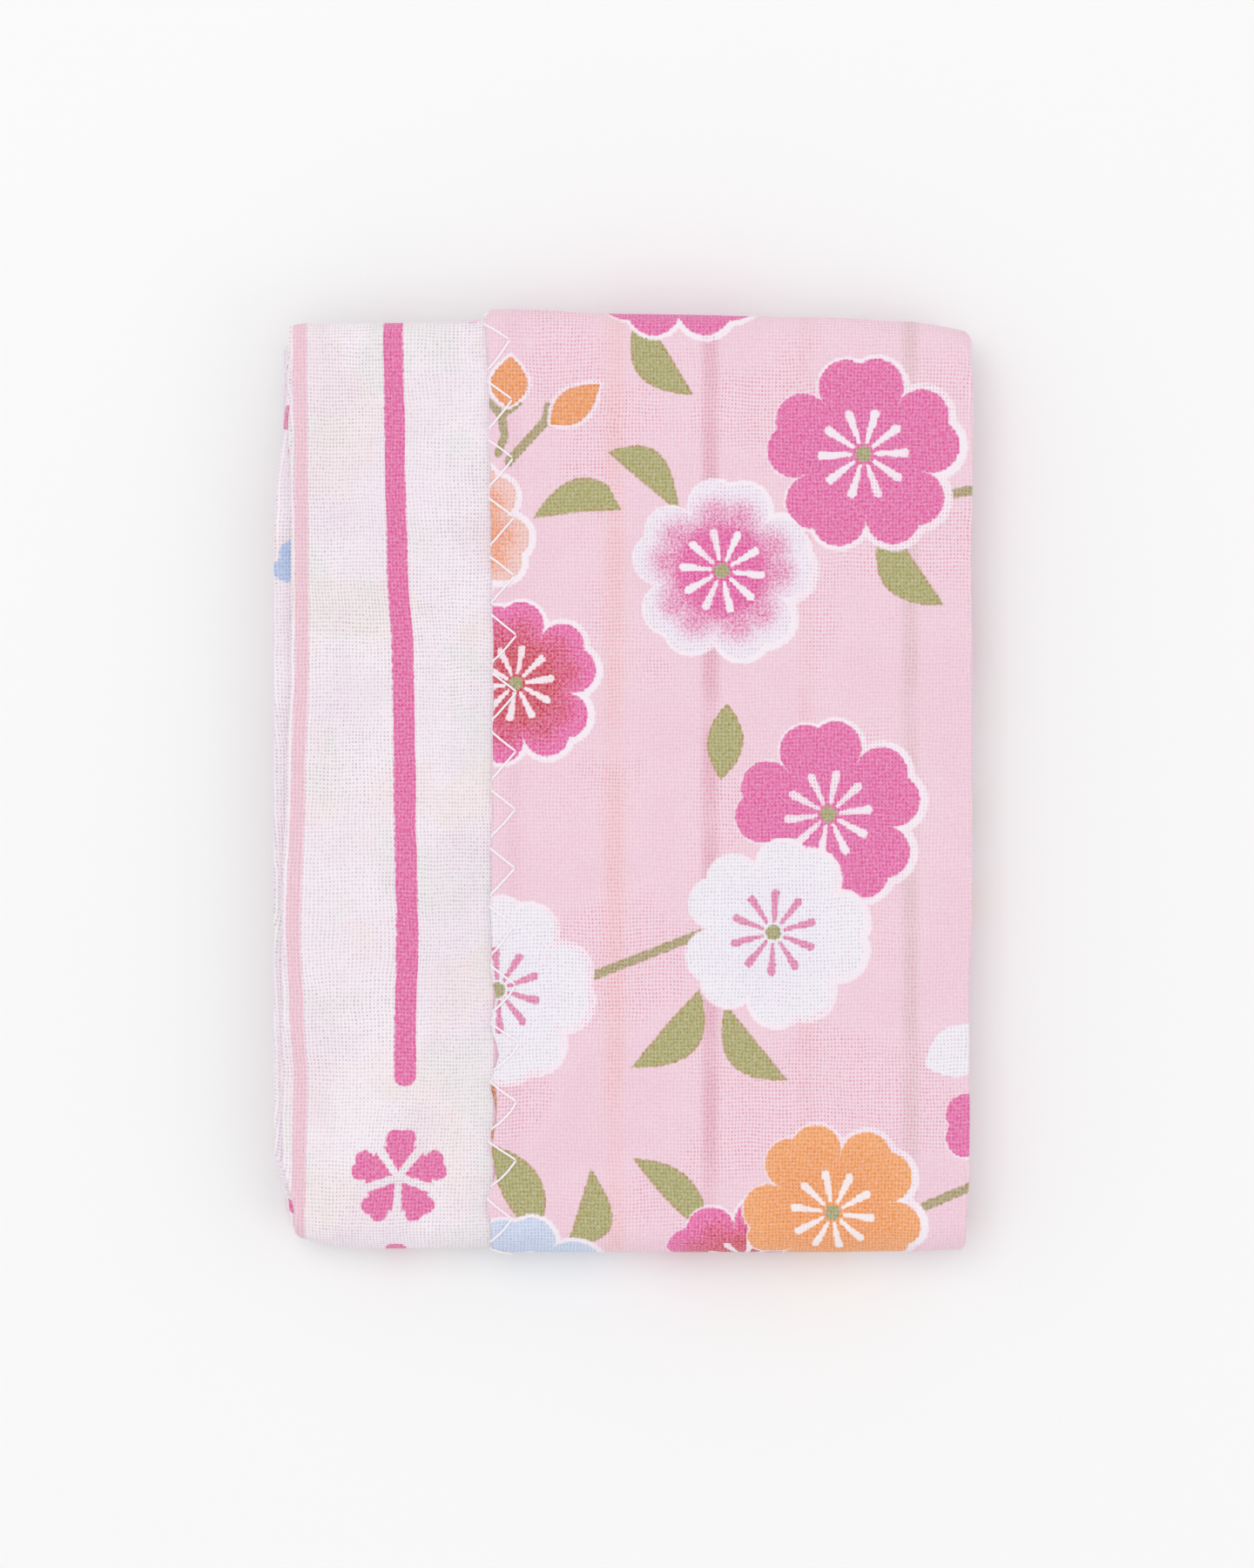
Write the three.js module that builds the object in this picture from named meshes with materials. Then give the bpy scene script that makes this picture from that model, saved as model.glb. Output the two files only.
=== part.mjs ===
// A folded handkerchief: one square of soft gauze, pressed flat on a table.
// The square is first folded back and forth across its width into a strip, which ends on top in a flap
// with the cloth's stitched hem. The strip is then folded in three behind itself: its middle third stays
// on top, the far third is tucked under that, and the near third comes round under both.
// So the section across the stack shows the flap over the pressed leaves, and the section along it shows
// the three thirds. The whole cloth is one solid, with its layers a little apart.
// Units are millimetres. +X is to the right, +Y to the far edge, +Z up from the table.

import * as THREE from "three";

// The cloth
const CLOTH_SIDE = 340;
const THIRDS = 3;

// The strip as pressed: the flap, the leaves under it, and the step that its hem makes on top of them
const FLAP_THICKNESS = 1.0;
const LEAVES_THICKNESS = 1.4;
const LAYER_GAP = 0.3;
const HEM_STEP = 0.6;

// Where the leaves start to rise from under the flap, past its hem, and how long the rise is
const RISE_START = 1.2;
const RISE_LENGTH = 5;

// The stack, seen from above. The ledge is how far the lower folds stand out on the left.
const STACK_WIDTH = 84.1;
const EDGE_SPREAD = 0.4;
const FLAP_LENGTH = 57.9;
const LEFT_LEDGE = 2.1;
const LEAST_LEDGE = 0.5;

// What follows from them
const STACK_LENGTH = CLOTH_SIDE / THIRDS + EDGE_SPREAD;
const STRIP_THICKNESS = FLAP_THICKNESS + LAYER_GAP + LEAVES_THICKNESS;
const HALF_STRIP = STRIP_THICKNESS / 2;
const LEVEL_STEP = STRIP_THICKNESS + LAYER_GAP;
const LEFT = -STACK_WIDTH / 2;
const RIGHT = STACK_WIDTH / 2;
const FAR = STACK_LENGTH / 2;
const NEAR = -STACK_LENGTH / 2;

// The mid-height of each third above the table
const NEAR_THIRD_HEIGHT = HALF_STRIP;
const FAR_THIRD_HEIGHT = NEAR_THIRD_HEIGHT + LEVEL_STEP;
const MIDDLE_THIRD_HEIGHT = FAR_THIRD_HEIGHT + LEVEL_STEP;

// A pressed fold is flatter than a round one: this is its reach as a share of its height
const FOLD_FLATNESS = 0.7;
const FAR_FOLD_RADIUS = (MIDDLE_THIRD_HEIGHT - FAR_THIRD_HEIGHT) / 2;
const NEAR_FOLD_RADIUS = (MIDDLE_THIRD_HEIGHT - NEAR_THIRD_HEIGHT) / 2;

// How far the far third's free end stays from the near fold, and the near third's from the far edge
const TUCKED_CLEARANCE = 1.5;
const UNDER_CLEARANCE = 4.0;

// How finely the faces follow the shape
const STEPS_IN_FLAP = 9;
const STEPS_IN_LEAVES = 12;
const STEPS_IN_SIDE_FOLD = 8;
const STEPS_IN_FAR_THIRD = 6;
const STEPS_IN_FAR_FOLD = 8;
const STEPS_IN_MIDDLE_THIRD = 15;
const STEPS_IN_NEAR_FOLD = 10;
const STEPS_IN_NEAR_THIRD = 9;
const CROWDING = 0.4;

// How a free end is rounded: how far in from the end, and how full each layer is there
const END_ROUNDING = [
  { inset: 0, fullness: 0.4 },
  { inset: 0.3, fullness: 0.85 },
  { inset: 0.9, fullness: 1 },
];

// The left side of the pressed leaves: reach goes from the ledge's tip to the upper fold, and low and
// high are shares of the leaves' thickness
const LEDGE_PROFILE = [
  { reach: 0, low: 0.16, high: 0.24 },
  { reach: 0.12, low: 0.04, high: 0.36 },
  { reach: 0.4, low: 0, high: 0.4 },
  { reach: 1, low: 0, high: 0.46 },
];

// The same for the upper fold, with reach in millimetres from its tip
const UPPER_FOLD_PROFILE = [
  { reach: 0.12, low: 0, high: 0.8 },
  { reach: 0.45, low: 0, high: 0.95 },
  { reach: 1.1, low: 0, high: 1 },
];

// How far the hem and folds stray from straight, to the right, on the way up the middle third
const MIDDLE_STRAYING = [
  { at: 0, hem: -0.4, right: -0.8, upperLeft: 0.4, lowerLeft: 1.9 },
  { at: 0.05, hem: 0.1, right: -0.5, upperLeft: -1, lowerLeft: 0.1 },
  { at: 0.12, hem: 0.2, right: -0.4, upperLeft: -1.1, lowerLeft: 0 },
  { at: 0.19, hem: 0.5, right: -0.5, upperLeft: -1.1, lowerLeft: 0 },
  { at: 0.27, hem: 0.2, right: -0.5, upperLeft: -1.1, lowerLeft: 0 },
  { at: 0.34, hem: 0, right: -0.1, upperLeft: -1.1, lowerLeft: 0 },
  { at: 0.5, hem: 0.2, right: -0.1, upperLeft: -0.5, lowerLeft: 0 },
  { at: 0.63, hem: 0.3, right: -0.1, upperLeft: 0, lowerLeft: 0 },
  { at: 0.76, hem: 0, right: -0.2, upperLeft: 0, lowerLeft: 0 },
  { at: 0.83, hem: -0.1, right: -0.1, upperLeft: 0, lowerLeft: 0.3 },
  { at: 0.9, hem: -0.2, right: 0, upperLeft: -0.3, lowerLeft: 1.2 },
  { at: 0.95, hem: -0.3, right: 0, upperLeft: 0.2, lowerLeft: 1.8 },
  { at: 1, hem: -0.6, right: -0.2, upperLeft: -0.1, lowerLeft: 1.7 },
];

// The same in the hidden thirds, plain with a little unevenness, on the way from the fold to the free end
const FAR_STRAYING = [
  { at: 0, hem: -0.6, right: -0.2, upperLeft: -0.1, lowerLeft: 1.7 },
  { at: 0.3, hem: 0.2, right: -0.6, upperLeft: 0.4, lowerLeft: 1.2 },
  { at: 1, hem: -0.3, right: -0.9, upperLeft: 0.5, lowerLeft: 1.3 },
];
const NEAR_STRAYING = [
  { at: 0, hem: -0.4, right: -0.8, upperLeft: 0.4, lowerLeft: 1.9 },
  { at: 0.2, hem: 0, right: -0.9, upperLeft: 0.1, lowerLeft: 1.1 },
  { at: 0.6, hem: 0.4, right: -0.6, upperLeft: 0.2, lowerLeft: 0.8 },
  { at: 1, hem: 0, right: -1, upperLeft: 0.3, lowerLeft: 1 },
];

// The far and near edges of the stack from left to right: how far in from straight each of them lies
const EDGE_LINES = [
  { at: LEFT, far: 2.6, near: 4.4 },
  { at: LEFT + 1.3, far: 2, near: 3 },
  { at: LEFT + 2.4, far: 1.8, near: 1.8 },
  { at: LEFT + 3.9, far: 1.7, near: 1.2 },
  { at: LEFT + 6.5, far: 1.7, near: 0.6 },
  { at: LEFT + 10, far: 1.7, near: 0.2 },
  { at: LEFT + 24.5, far: 1.6, near: 0.3 },
  { at: LEFT + 26.5, far: 0.1, near: 0.1 },
  { at: LEFT + 29, far: 0, near: 0 },
  { at: 0, far: 0.6, near: 0 },
  { at: 24, far: 1, near: 0 },
  { at: 34, far: 1.5, near: 0.1 },
  { at: RIGHT - 1.5, far: 2.3, near: 0.3 },
  { at: RIGHT, far: 3.3, near: 1 },
];

const CLOTH_PINK = 0xefcfdd;
const CLOTH_ROUGHNESS = 0.92;

function mix(from, to, share) {
  return from + (to - from) * share;
}

function easeInOut(share) {
  const held = THREE.MathUtils.clamp(share, 0, 1);
  return held * held * (3 - 2 * held);
}

// One column of a table, read at a place between its first and last row and eased from row to row
function readTable(table, place, column) {
  const held = THREE.MathUtils.clamp(place, table[0].at, table.at(-1).at);
  const next = table.findIndex((row) => row.at >= held);
  const after = table[next];
  const before = table[Math.max(next - 1, 0)];
  const share = (held - before.at) / (after.at - before.at || 1);
  return mix(before[column], after[column], easeInOut(share));
}

// Where the hem and the folds lie across the strip, at a place of a straying table
function turnsAt(table, place) {
  const upperLeft = LEFT + LEFT_LEDGE + readTable(table, place, "upperLeft");
  return {
    hem: RIGHT - FLAP_LENGTH + readTable(table, place, "hem"),
    right: RIGHT + readTable(table, place, "right"),
    upperLeft,
    lowerLeft: Math.min(LEFT + readTable(table, place, "lowerLeft"), upperLeft - LEAST_LEDGE),
  };
}

// The strip's section is a middle line with a half thickness at each point. rise is the height over the
// strip's own mid-height, and heading is the way the line runs, 0 to the right.
const FLAP_RISE = HALF_STRIP - FLAP_THICKNESS / 2;
const LEAVES_RISE = LEAVES_THICKNESS / 2 - HALF_STRIP;
const SIDE_FOLD_RADIUS = (FLAP_RISE - LEAVES_RISE) / 2;

function flapLine(turns, foldX) {
  const line = [];
  for (let step = 0; step <= STEPS_IN_FLAP; step += 1) {
    const x = mix(turns.hem, foldX, step / STEPS_IN_FLAP);
    line.push({ x, rise: FLAP_RISE, half: FLAP_THICKNESS / 2, heading: 0 });
  }
  return line;
}

function sideFoldLine(foldX) {
  const line = [];
  for (let step = 1; step < STEPS_IN_SIDE_FOLD; step += 1) {
    const share = step / STEPS_IN_SIDE_FOLD;
    const turned = Math.PI * share;
    line.push({
      x: foldX + SIDE_FOLD_RADIUS * Math.sin(turned),
      rise: LEAVES_RISE + SIDE_FOLD_RADIUS * (1 + Math.cos(turned)),
      half: mix(FLAP_THICKNESS, LEAVES_THICKNESS, share) / 2,
      heading: -turned,
    });
  }
  return line;
}

// The pressed leaves, back to the left. settled is 1 where they have come level with the flap past its
// hem, and 0 where the whole step is left.
function leavesLine(turns, foldX, settled) {
  const point = (x, low, high) => {
    const risen = easeInOut((turns.hem + RISE_START - x) / RISE_LENGTH);
    const top = mix(LEAVES_THICKNESS - HALF_STRIP, HALF_STRIP - HEM_STEP * (1 - settled), risen);
    const lowRise = mix(-HALF_STRIP, top, low);
    const highRise = mix(-HALF_STRIP, top, high);
    return { x, rise: (lowRise + highRise) / 2, half: (highRise - lowRise) / 2, heading: Math.PI };
  };
  const innerX = turns.upperLeft + UPPER_FOLD_PROFILE.at(-1).reach;
  const line = [];
  for (let step = 0; step < STEPS_IN_LEAVES; step += 1) {
    line.push(point(mix(foldX, innerX, step / STEPS_IN_LEAVES), 0, 1));
  }
  for (const { reach, low, high } of UPPER_FOLD_PROFILE.toReversed()) {
    line.push(point(turns.upperLeft + reach, low, high));
  }
  for (const { reach, low, high } of LEDGE_PROFILE.toReversed()) {
    line.push(point(mix(turns.lowerLeft, turns.upperLeft, reach), low, high));
  }
  return line;
}

// The closed section of the strip at a station: out along one side of the line and back along the other
function sectionLoop({ turns, settled, fullness }) {
  const foldX = turns.right - SIDE_FOLD_RADIUS - (FLAP_THICKNESS + LEAVES_THICKNESS) / 4;
  const line = [...flapLine(turns, foldX), ...sideFoldLine(foldX), ...leavesLine(turns, foldX, settled)];
  const offset = ({ x, rise, half, heading }, side) => ({
    x: x - Math.sin(heading) * half * fullness * side,
    rise: rise + Math.cos(heading) * half * fullness * side,
  });
  return [...line.map((point) => offset(point, 1)), ...line.toReversed().map((point) => offset(point, -1))];
}

// The centres of the far and the near fold, for a place across the stack
function farCentre(x) {
  return FAR - readTable(EDGE_LINES, x, "far") - FOLD_FLATNESS * (FAR_FOLD_RADIUS + HALF_STRIP);
}

function nearCentre(x) {
  return NEAR + readTable(EDGE_LINES, x, "near") + FOLD_FLATNESS * (NEAR_FOLD_RADIUS + HALF_STRIP);
}

// A station is one section on the way along the folded strip: its turns, whether its leaves have settled,
// how full its layers are, and place, which gives Y and Z for a point of the section
function farThirdStations() {
  const freeEnd = nearCentre(0) + TUCKED_CLEARANCE;
  const length = farCentre(0) - freeEnd;
  const station = (out, fullness) => ({
    turns: turnsAt(FAR_STRAYING, out),
    settled: 0,
    fullness,
    place: (x, rise) => [mix(farCentre(x), freeEnd, out), FAR_THIRD_HEIGHT - rise],
  });
  const stations = END_ROUNDING.map(({ inset, fullness }) => station(1 - inset / length, fullness));
  for (let step = STEPS_IN_FAR_THIRD - 1; step > 0; step -= 1) {
    stations.push(station(step / STEPS_IN_FAR_THIRD, 1));
  }
  return stations;
}

function farFoldStations() {
  const stations = [];
  for (let step = 0; step < STEPS_IN_FAR_FOLD; step += 1) {
    const angle = Math.PI * (step / STEPS_IN_FAR_FOLD - 0.5);
    stations.push({
      turns: turnsAt(MIDDLE_STRAYING, 1),
      settled: 0,
      fullness: 1,
      place: (x, rise) => [
        farCentre(x) + FOLD_FLATNESS * (FAR_FOLD_RADIUS + rise) * Math.cos(angle),
        FAR_THIRD_HEIGHT + FAR_FOLD_RADIUS + (FAR_FOLD_RADIUS + rise) * Math.sin(angle),
      ],
    });
  }
  return stations;
}

function middleThirdStations() {
  const stations = [];
  for (let step = 0; step <= STEPS_IN_MIDDLE_THIRD; step += 1) {
    const even = step / STEPS_IN_MIDDLE_THIRD;
    const down = mix(even, (1 - Math.cos(Math.PI * even)) / 2, CROWDING);
    stations.push({
      turns: turnsAt(MIDDLE_STRAYING, 1 - down),
      settled: 0,
      fullness: 1,
      place: (x, rise) => [mix(farCentre(x), nearCentre(x), down), MIDDLE_THIRD_HEIGHT + rise],
    });
  }
  return stations;
}

function nearFoldStations() {
  const stations = [];
  for (let step = 1; step < STEPS_IN_NEAR_FOLD; step += 1) {
    const share = step / STEPS_IN_NEAR_FOLD;
    const angle = Math.PI * (0.5 + share);
    stations.push({
      turns: turnsAt(MIDDLE_STRAYING, 0),
      settled: easeInOut(share),
      fullness: 1,
      place: (x, rise) => [
        nearCentre(x) + FOLD_FLATNESS * (NEAR_FOLD_RADIUS + rise) * Math.cos(angle),
        NEAR_THIRD_HEIGHT + NEAR_FOLD_RADIUS + (NEAR_FOLD_RADIUS + rise) * Math.sin(angle),
      ],
    });
  }
  return stations;
}

function nearThirdStations() {
  const freeEnd = FAR - UNDER_CLEARANCE;
  const length = freeEnd - nearCentre(0);
  const station = (out, fullness) => ({
    turns: turnsAt(NEAR_STRAYING, out),
    settled: 1,
    fullness,
    place: (x, rise) => [mix(nearCentre(x), freeEnd, out), NEAR_THIRD_HEIGHT - rise],
  });
  const stations = [];
  for (let step = 0; step < STEPS_IN_NEAR_THIRD; step += 1) {
    stations.push(station(step / STEPS_IN_NEAR_THIRD, 1));
  }
  const rounded = END_ROUNDING.map(({ inset, fullness }) => station(1 - inset / length, fullness));
  return [...stations, ...rounded.toReversed()];
}

// The faces of a free end, from its closed section. first is the number of the section's first corner.
function endFaces(loop, first, flipped) {
  const outline = loop.map(({ x, rise }) => new THREE.Vector2(x, rise));
  const triangles = THREE.ShapeUtils.triangulateShape(outline, []);
  return triangles.flatMap(([a, b, c]) => (flipped ? [a, c, b] : [a, b, c])).map((corner) => first + corner);
}

// The section swept from the tucked end of the cloth round both folds to the end underneath
function clothGeometry() {
  const stations = [
    ...farThirdStations(),
    ...farFoldStations(),
    ...middleThirdStations(),
    ...nearFoldStations(),
    ...nearThirdStations(),
  ];
  const loops = stations.map(sectionLoop);
  const count = loops[0].length;
  const last = stations.length - 1;
  const positions = stations.flatMap(({ place }, row) =>
    loops[row].flatMap(({ x, rise }) => [x, ...place(x, rise)]),
  );
  const faces = [...endFaces(loops[0], 0, true), ...endFaces(loops[last], last * count, false)];
  for (let row = 0; row < last; row += 1) {
    for (let point = 0; point < count; point += 1) {
      const here = row * count + point;
      const beside = row * count + ((point + 1) % count);
      faces.push(here, here + count, beside + count, here, beside + count, beside);
    }
  }
  const geometry = new THREE.BufferGeometry();
  geometry.setAttribute("position", new THREE.Float32BufferAttribute(positions, 3));
  geometry.setIndex(faces);
  geometry.computeVertexNormals();
  centreFootprint(geometry);
  return geometry;
}

// Puts the middle of the footprint at the origin, with the underside on the table
function centreFootprint(geometry) {
  geometry.computeBoundingBox();
  const { min, max } = geometry.boundingBox;
  geometry.translate(-(min.x + max.x) / 2, -(min.y + max.y) / 2, -min.z);
}

function handkerchief() {
  const gauze = new THREE.MeshStandardMaterial({
    color: CLOTH_PINK,
    roughness: CLOTH_ROUGHNESS,
    metalness: 0,
  });
  const cloth = new THREE.Mesh(clothGeometry(), gauze);
  cloth.name = "cloth";
  const group = new THREE.Group();
  group.add(cloth);
  return group;
}

export default handkerchief();
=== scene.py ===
import math

import bpy
import numpy as np
from bpy.props import (
    FloatProperty,
    FloatVectorProperty,
    IntProperty,
    PointerProperty,
)
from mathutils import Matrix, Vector


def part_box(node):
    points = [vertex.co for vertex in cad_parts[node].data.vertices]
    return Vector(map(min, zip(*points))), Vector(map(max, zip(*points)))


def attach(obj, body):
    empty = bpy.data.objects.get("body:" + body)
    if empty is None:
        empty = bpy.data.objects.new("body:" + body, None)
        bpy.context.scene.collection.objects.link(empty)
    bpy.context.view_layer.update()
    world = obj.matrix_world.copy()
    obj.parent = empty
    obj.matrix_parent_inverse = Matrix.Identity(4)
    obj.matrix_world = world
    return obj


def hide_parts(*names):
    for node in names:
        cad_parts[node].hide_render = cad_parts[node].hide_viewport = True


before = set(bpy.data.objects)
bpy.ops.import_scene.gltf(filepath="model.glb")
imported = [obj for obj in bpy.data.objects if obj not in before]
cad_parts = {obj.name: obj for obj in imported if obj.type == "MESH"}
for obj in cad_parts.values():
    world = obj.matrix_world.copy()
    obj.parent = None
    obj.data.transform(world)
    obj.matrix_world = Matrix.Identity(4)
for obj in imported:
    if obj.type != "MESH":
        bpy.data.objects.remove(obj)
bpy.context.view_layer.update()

bl_info = {
    "name": "Folded handkerchief",
    "version": (1, 0, 0),
    "blender": (4, 5, 0),
    "location": "3D View > Sidebar > Handkerchief",
    "description": "Makes a pressed gauze handkerchief, printed on both faces, with its stitched hems",
    "category": "Add Mesh",
}


def rows_of(columns, *rows):
    """A table as one dictionary for each row, its columns named in one string."""
    return [dict(zip(columns.split(), row)) for row in rows]


# The finished pieces are in metres. Sizes in this script are millimetres unless a comment says otherwise.
MM = 0.001
LOWEST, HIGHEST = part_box("cloth")
LEFT, NEAR = LOWEST.x / MM, LOWEST.y / MM
RIGHT, FAR, TOP = HIGHEST.x / MM, HIGHEST.y / MM, HIGHEST.z / MM

# The flat cloth: u runs from the flap's hem to the hidden hem, w from the tucked end to the end underneath
CLOTH_SIDE = 340
THIRD = CLOTH_SIDE / 3
MIDDLE_W = CLOTH_SIDE / 2

# The strip of leaves, folded in three behind itself: near third lowest, far third next, middle third on top
LEVEL_GAP = 0.3
STRIP_THICKNESS = (TOP - 2 * LEVEL_GAP) / 3
HALF_STRIP = STRIP_THICKNESS / 2
LEVEL_STEP = STRIP_THICKNESS + LEVEL_GAP
NEAR_THIRD_HEIGHT = HALF_STRIP
FAR_THIRD_HEIGHT = NEAR_THIRD_HEIGHT + LEVEL_STEP
MIDDLE_THIRD_HEIGHT = FAR_THIRD_HEIGHT + LEVEL_STEP
FOLD_FLATNESS = 0.7
FAR_FOLD_RADIUS = LEVEL_STEP / 2
NEAR_FOLD_RADIUS = LEVEL_STEP

# Across the stack: the flap's length, how far the lower folds stand out on the left, and how far the
# second fold on the right lies inside the first
FLAP_LENGTH = 57.9
LEFT_LEDGE = 2.1
LEAST_LEDGE = 0
INNER_FOLD_INSET = 0.7
HEM_STEP = 0.6
HEM_X = RIGHT - FLAP_LENGTH
SIDE_FOLD_FLATNESS = 1.2
FOLD_INSET = 1.2

# How the second leaf sinks beside the hem, and how the leaves close in past the tail's end: the start's
# distance, and the length of the slope
HEM_SLOPE = (0.6, 4)
TAIL_SLOPE = (1.2, 3.4)

# Lines of points close to the sheet's ends and to its hem, as distances from the edge, and how full the
# thickness is at the outermost lines
END_LINES = (0, 0.06, 0.2, 0.45)
HEM_LINES = (0, 0.05, 0.15, 0.3, 0.6, 1.1, 1.8, 2.7)
FIRST_FLAP_LINE = 3.8
EDGE_ROUNDING = (0.3, 0.66, 0.95, 1)

# The numbers of the zones that are asked for by name: down the sheet, and across it
MIDDLE_ZONE = 2
FLAP_ZONE = 0
PANEL_ZONE = 2

# Where the hidden ends lie, from the fold centres that they come to
TUCKED_CLEARANCE = 2.4
UNDER_CLEARANCE = 7.6

# How far the hem and folds stray to the right of straight, from the near fold (0) to the far fold (1)
MIDDLE_STRAYING = {
    "at": (0, 0.05, 0.12, 0.19, 0.27, 0.34, 0.5, 0.63, 0.76, 0.83, 0.9, 0.95, 1),
    "hem": (-0.4, 0.1, 0.2, 0.5, 0.2, 0, 0.2, 0.3, 0, -0.1, -0.2, -0.3, -0.6),
    "right": (-0.8, -0.5, -0.4, -0.5, -0.5, -0.1, -0.1, -0.1, -0.2, -0.1, 0, 0, -0.2),
    "upper_left": (0.4, -1, -1.1, -1.1, -1.1, -1.1, -0.5, 0, 0, 0, -0.3, 0.1, -0.4),
    "lower_left": (1.9, 0.1, 0, 0, 0, 0, 0, 0, 0, 0.3, 1.2, 1.8, 1.7),
}
# The same from each fold (0) to the free end (1) of the hidden thirds
FAR_STRAYING = {
    "at": (0, 0.3, 1),
    "hem": (-0.6, 0.2, -0.3),
    "right": (-0.2, -0.6, -0.9),
    "upper_left": (-0.1, 0.4, 0.5),
    "lower_left": (1.7, 1.2, 1.3),
}
NEAR_STRAYING = {
    "at": (0, 0.2, 0.6, 1),
    "hem": (-0.4, 0, 0.4, 0),
    "right": (-0.8, -0.9, -0.6, -1),
    "upper_left": (0.4, 0.1, 0.2, 0.3),
    "lower_left": (1.9, 1.1, 0.8, 1),
}

# How far in from straight the far and near edges lie, from left to right
EDGE_LINES = {
    "at": (
        LEFT, LEFT + 1.3, LEFT + 2.4, LEFT + 3.9, LEFT + 6.5, LEFT + 10, LEFT + 24.5,
        LEFT + 26.5, LEFT + 29, 0, 24, 34, RIGHT - 1.5, RIGHT,
    ),
    "far": (2.4, 1.8, 1.5, 1.3, 1.3, 1.3, 1.2, 0, 0, 0.6, 1, 1.5, 2.3, 3.3),
    "near": (4.4, 3, 1.8, 1.2, 0.6, 0.2, 0.3, 0.1, 0, 0, 0, 0.1, 0.3, 1),
}

# How far the striped print is pulled to the right by the loose weave, down the middle third (w), at the
# magenta stripe and at the pale one beside the fold
PULLED = {
    "at": (115, 129, 143, 155, 170, 189, 199, 207, 218, 228),
    "magenta": (-0.9, -0.7, -0.4, 0.35, 0.6, 0.95, 0.7, 0.6, -0.2, -0.9),
    "pale": (0.15, 0.25, 0.35, 0.35, -0.1, -0.7, -0.3, 0.2, 0, -0.2),
}
MAGENTA_STRIPE_X = -26.7
PALE_STRIPE_X = -38.7

# Soft troughs (-) and ridges (+) of the pressed top: centre, half length along Y, half width along X,
# height
PRESS_MARKS = rows_of(
    "x y long wide height",
    (-1.1, 30, 34, 1.9, -0.1),
    (10.4, -8, 60, 1.6, -0.09),
    (21.9, 6, 40, 1.4, -0.06),
    (34.4, 12, 52, 1.7, -0.12),
    (-34, 18, 26, 3.0, 0.12),
    (-21, -30, 24, 3.4, -0.1),
    (28, -44, 9, 7, 0.12),
    (4, 46, 7, 12, 0.1),
)

# Finer unevenness of the pressed top: pairs of a wave's size and its height, how much longer the waves
# that cross it are, and how it dies out towards the folds
UNEVENNESS = ((5.3, 0.025), (2.9, 0.012))
WAVE_CROSSING = 1.7
PRESSED_FADE = 0.3

# The hem's stitches, and how they draw the edge in and up
STITCH_PITCH = 7.0
LEAST_SCALLOP = 0.05
MOST_SCALLOP = 0.42
SCALLOP_GROWS_W = 188
SCALLOP_GROWS_OVER = 10
HEM_RIPPLE = 0.05
HEM_RIPPLE_REACH = 2.2

# The cloth's maps: places on the flat cloth, and the layout of the finished texture. Each zone of the
# layout is a stretch of the flat cloth and its scale.
CLOTH_MAP = "Flat cloth"
ATLAS_MAP = "OFBake"
ATLAS_GAP = 4
ATLAS_FRONT_U = ((-2, 62, 1.2), (62, 345, 0.08))
ATLAS_BACK_U = ((-2, 104, 0.08), (104, 146, 1.2), (146, 345, 0.08))
ATLAS_W = ((-5, 108, 0.1), (108, 232, 1), (232, 345, 0.5))

# Where the blossom print's repeat starts on the flat cloth, its size, and its shift from one to the next
REPEAT_START = (-13, 96.5)
REPEAT_SIZE = (85, 147)
REPEAT_SHIFT = 38

# The plain weave: the yarns' pitch, how far they wander, in pitches, and how ragged they make the print
WEAVE_PITCH = (0.41, 0.45, 1)
WEAVE_WANDER = 1.8
RAGGEDNESS = 0.35

# Colours are 0 to 255, as seen
PRINT_WHITE = (250, 240, 249)
PRINT_OLIVE = (163, 160, 96)
STEM_OLIVE = (170, 155, 98)
# Painted highlight on the crests of the yarns where the ground is bare
YARN_CREST_HIGHLIGHT = (253, 240, 247)
# Print rubbed off the crests of some yarns, partly a painted highlight there
WORN_AND_HIGHLIT_PRINT = (250, 232, 240)
# Painted shade in the gaps between the yarns of the print
PRINT_HOLE_SHADE = (224, 204, 220)
COTTON_GRAIN = (255, 250, 253)

# The blossom's parts as shares of its radius
PETAL = {"lobe_out": 0.705, "lobe_aside": 0.16, "lobe_radius": 0.285, "cleft": 0.645}
OUTLINE = {"width": 0.05, "lean": 0.04, "lean_angle": 1.85}
STAMEN = {"start": 0.13, "end": 0.435, "stalk": 0.008, "flare": 0.085}
HEART_RADIUS = 0.085
SOFTNESS = 0.008
# How far round itself a motif is looked for, as a share of a blossom's radius and past a leaf's tips
BLOSSOM_REACH = 1.12
LEAF_REACH = 0.8

BLOSSOM_KINDS = [
    {"name": "magenta", "rim": (235, 92, 167), "deep": (233, 90, 167), "stamens": (248, 236, 246)},
    {"name": "fading", "rim": (247, 240, 250), "deep": (233, 76, 162), "stamens": (248, 240, 248)},
    {"name": "red", "rim": (238, 92, 168), "deep": (212, 24, 70), "stamens": (250, 236, 242)},
    {"name": "white", "rim": (247, 246, 252), "deep": (246, 245, 252), "stamens": (218, 88, 152)},
    {"name": "orange", "rim": (250, 164, 78), "deep": (248, 154, 62), "stamens": (252, 240, 238)},
    {"name": "peach", "rim": (248, 203, 192), "deep": (246, 144, 76), "stamens": (250, 236, 234)},
    {"name": "blue", "rim": (206, 223, 245), "deep": (195, 214, 243), "stamens": (248, 246, 252)},
]
LEAF_KINDS = [
    {"name": "green", "rim": (180, 148, 84), "inner": (168, 166, 86)},
    {"name": "bud", "rim": (240, 150, 80), "inner": (244, 154, 72)},
    {"name": "petal", "rim": (247, 246, 252), "inner": (247, 246, 252)},
    {"name": "sliver", "rim": (196, 124, 88), "inner": (205, 118, 74)},
]

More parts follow.
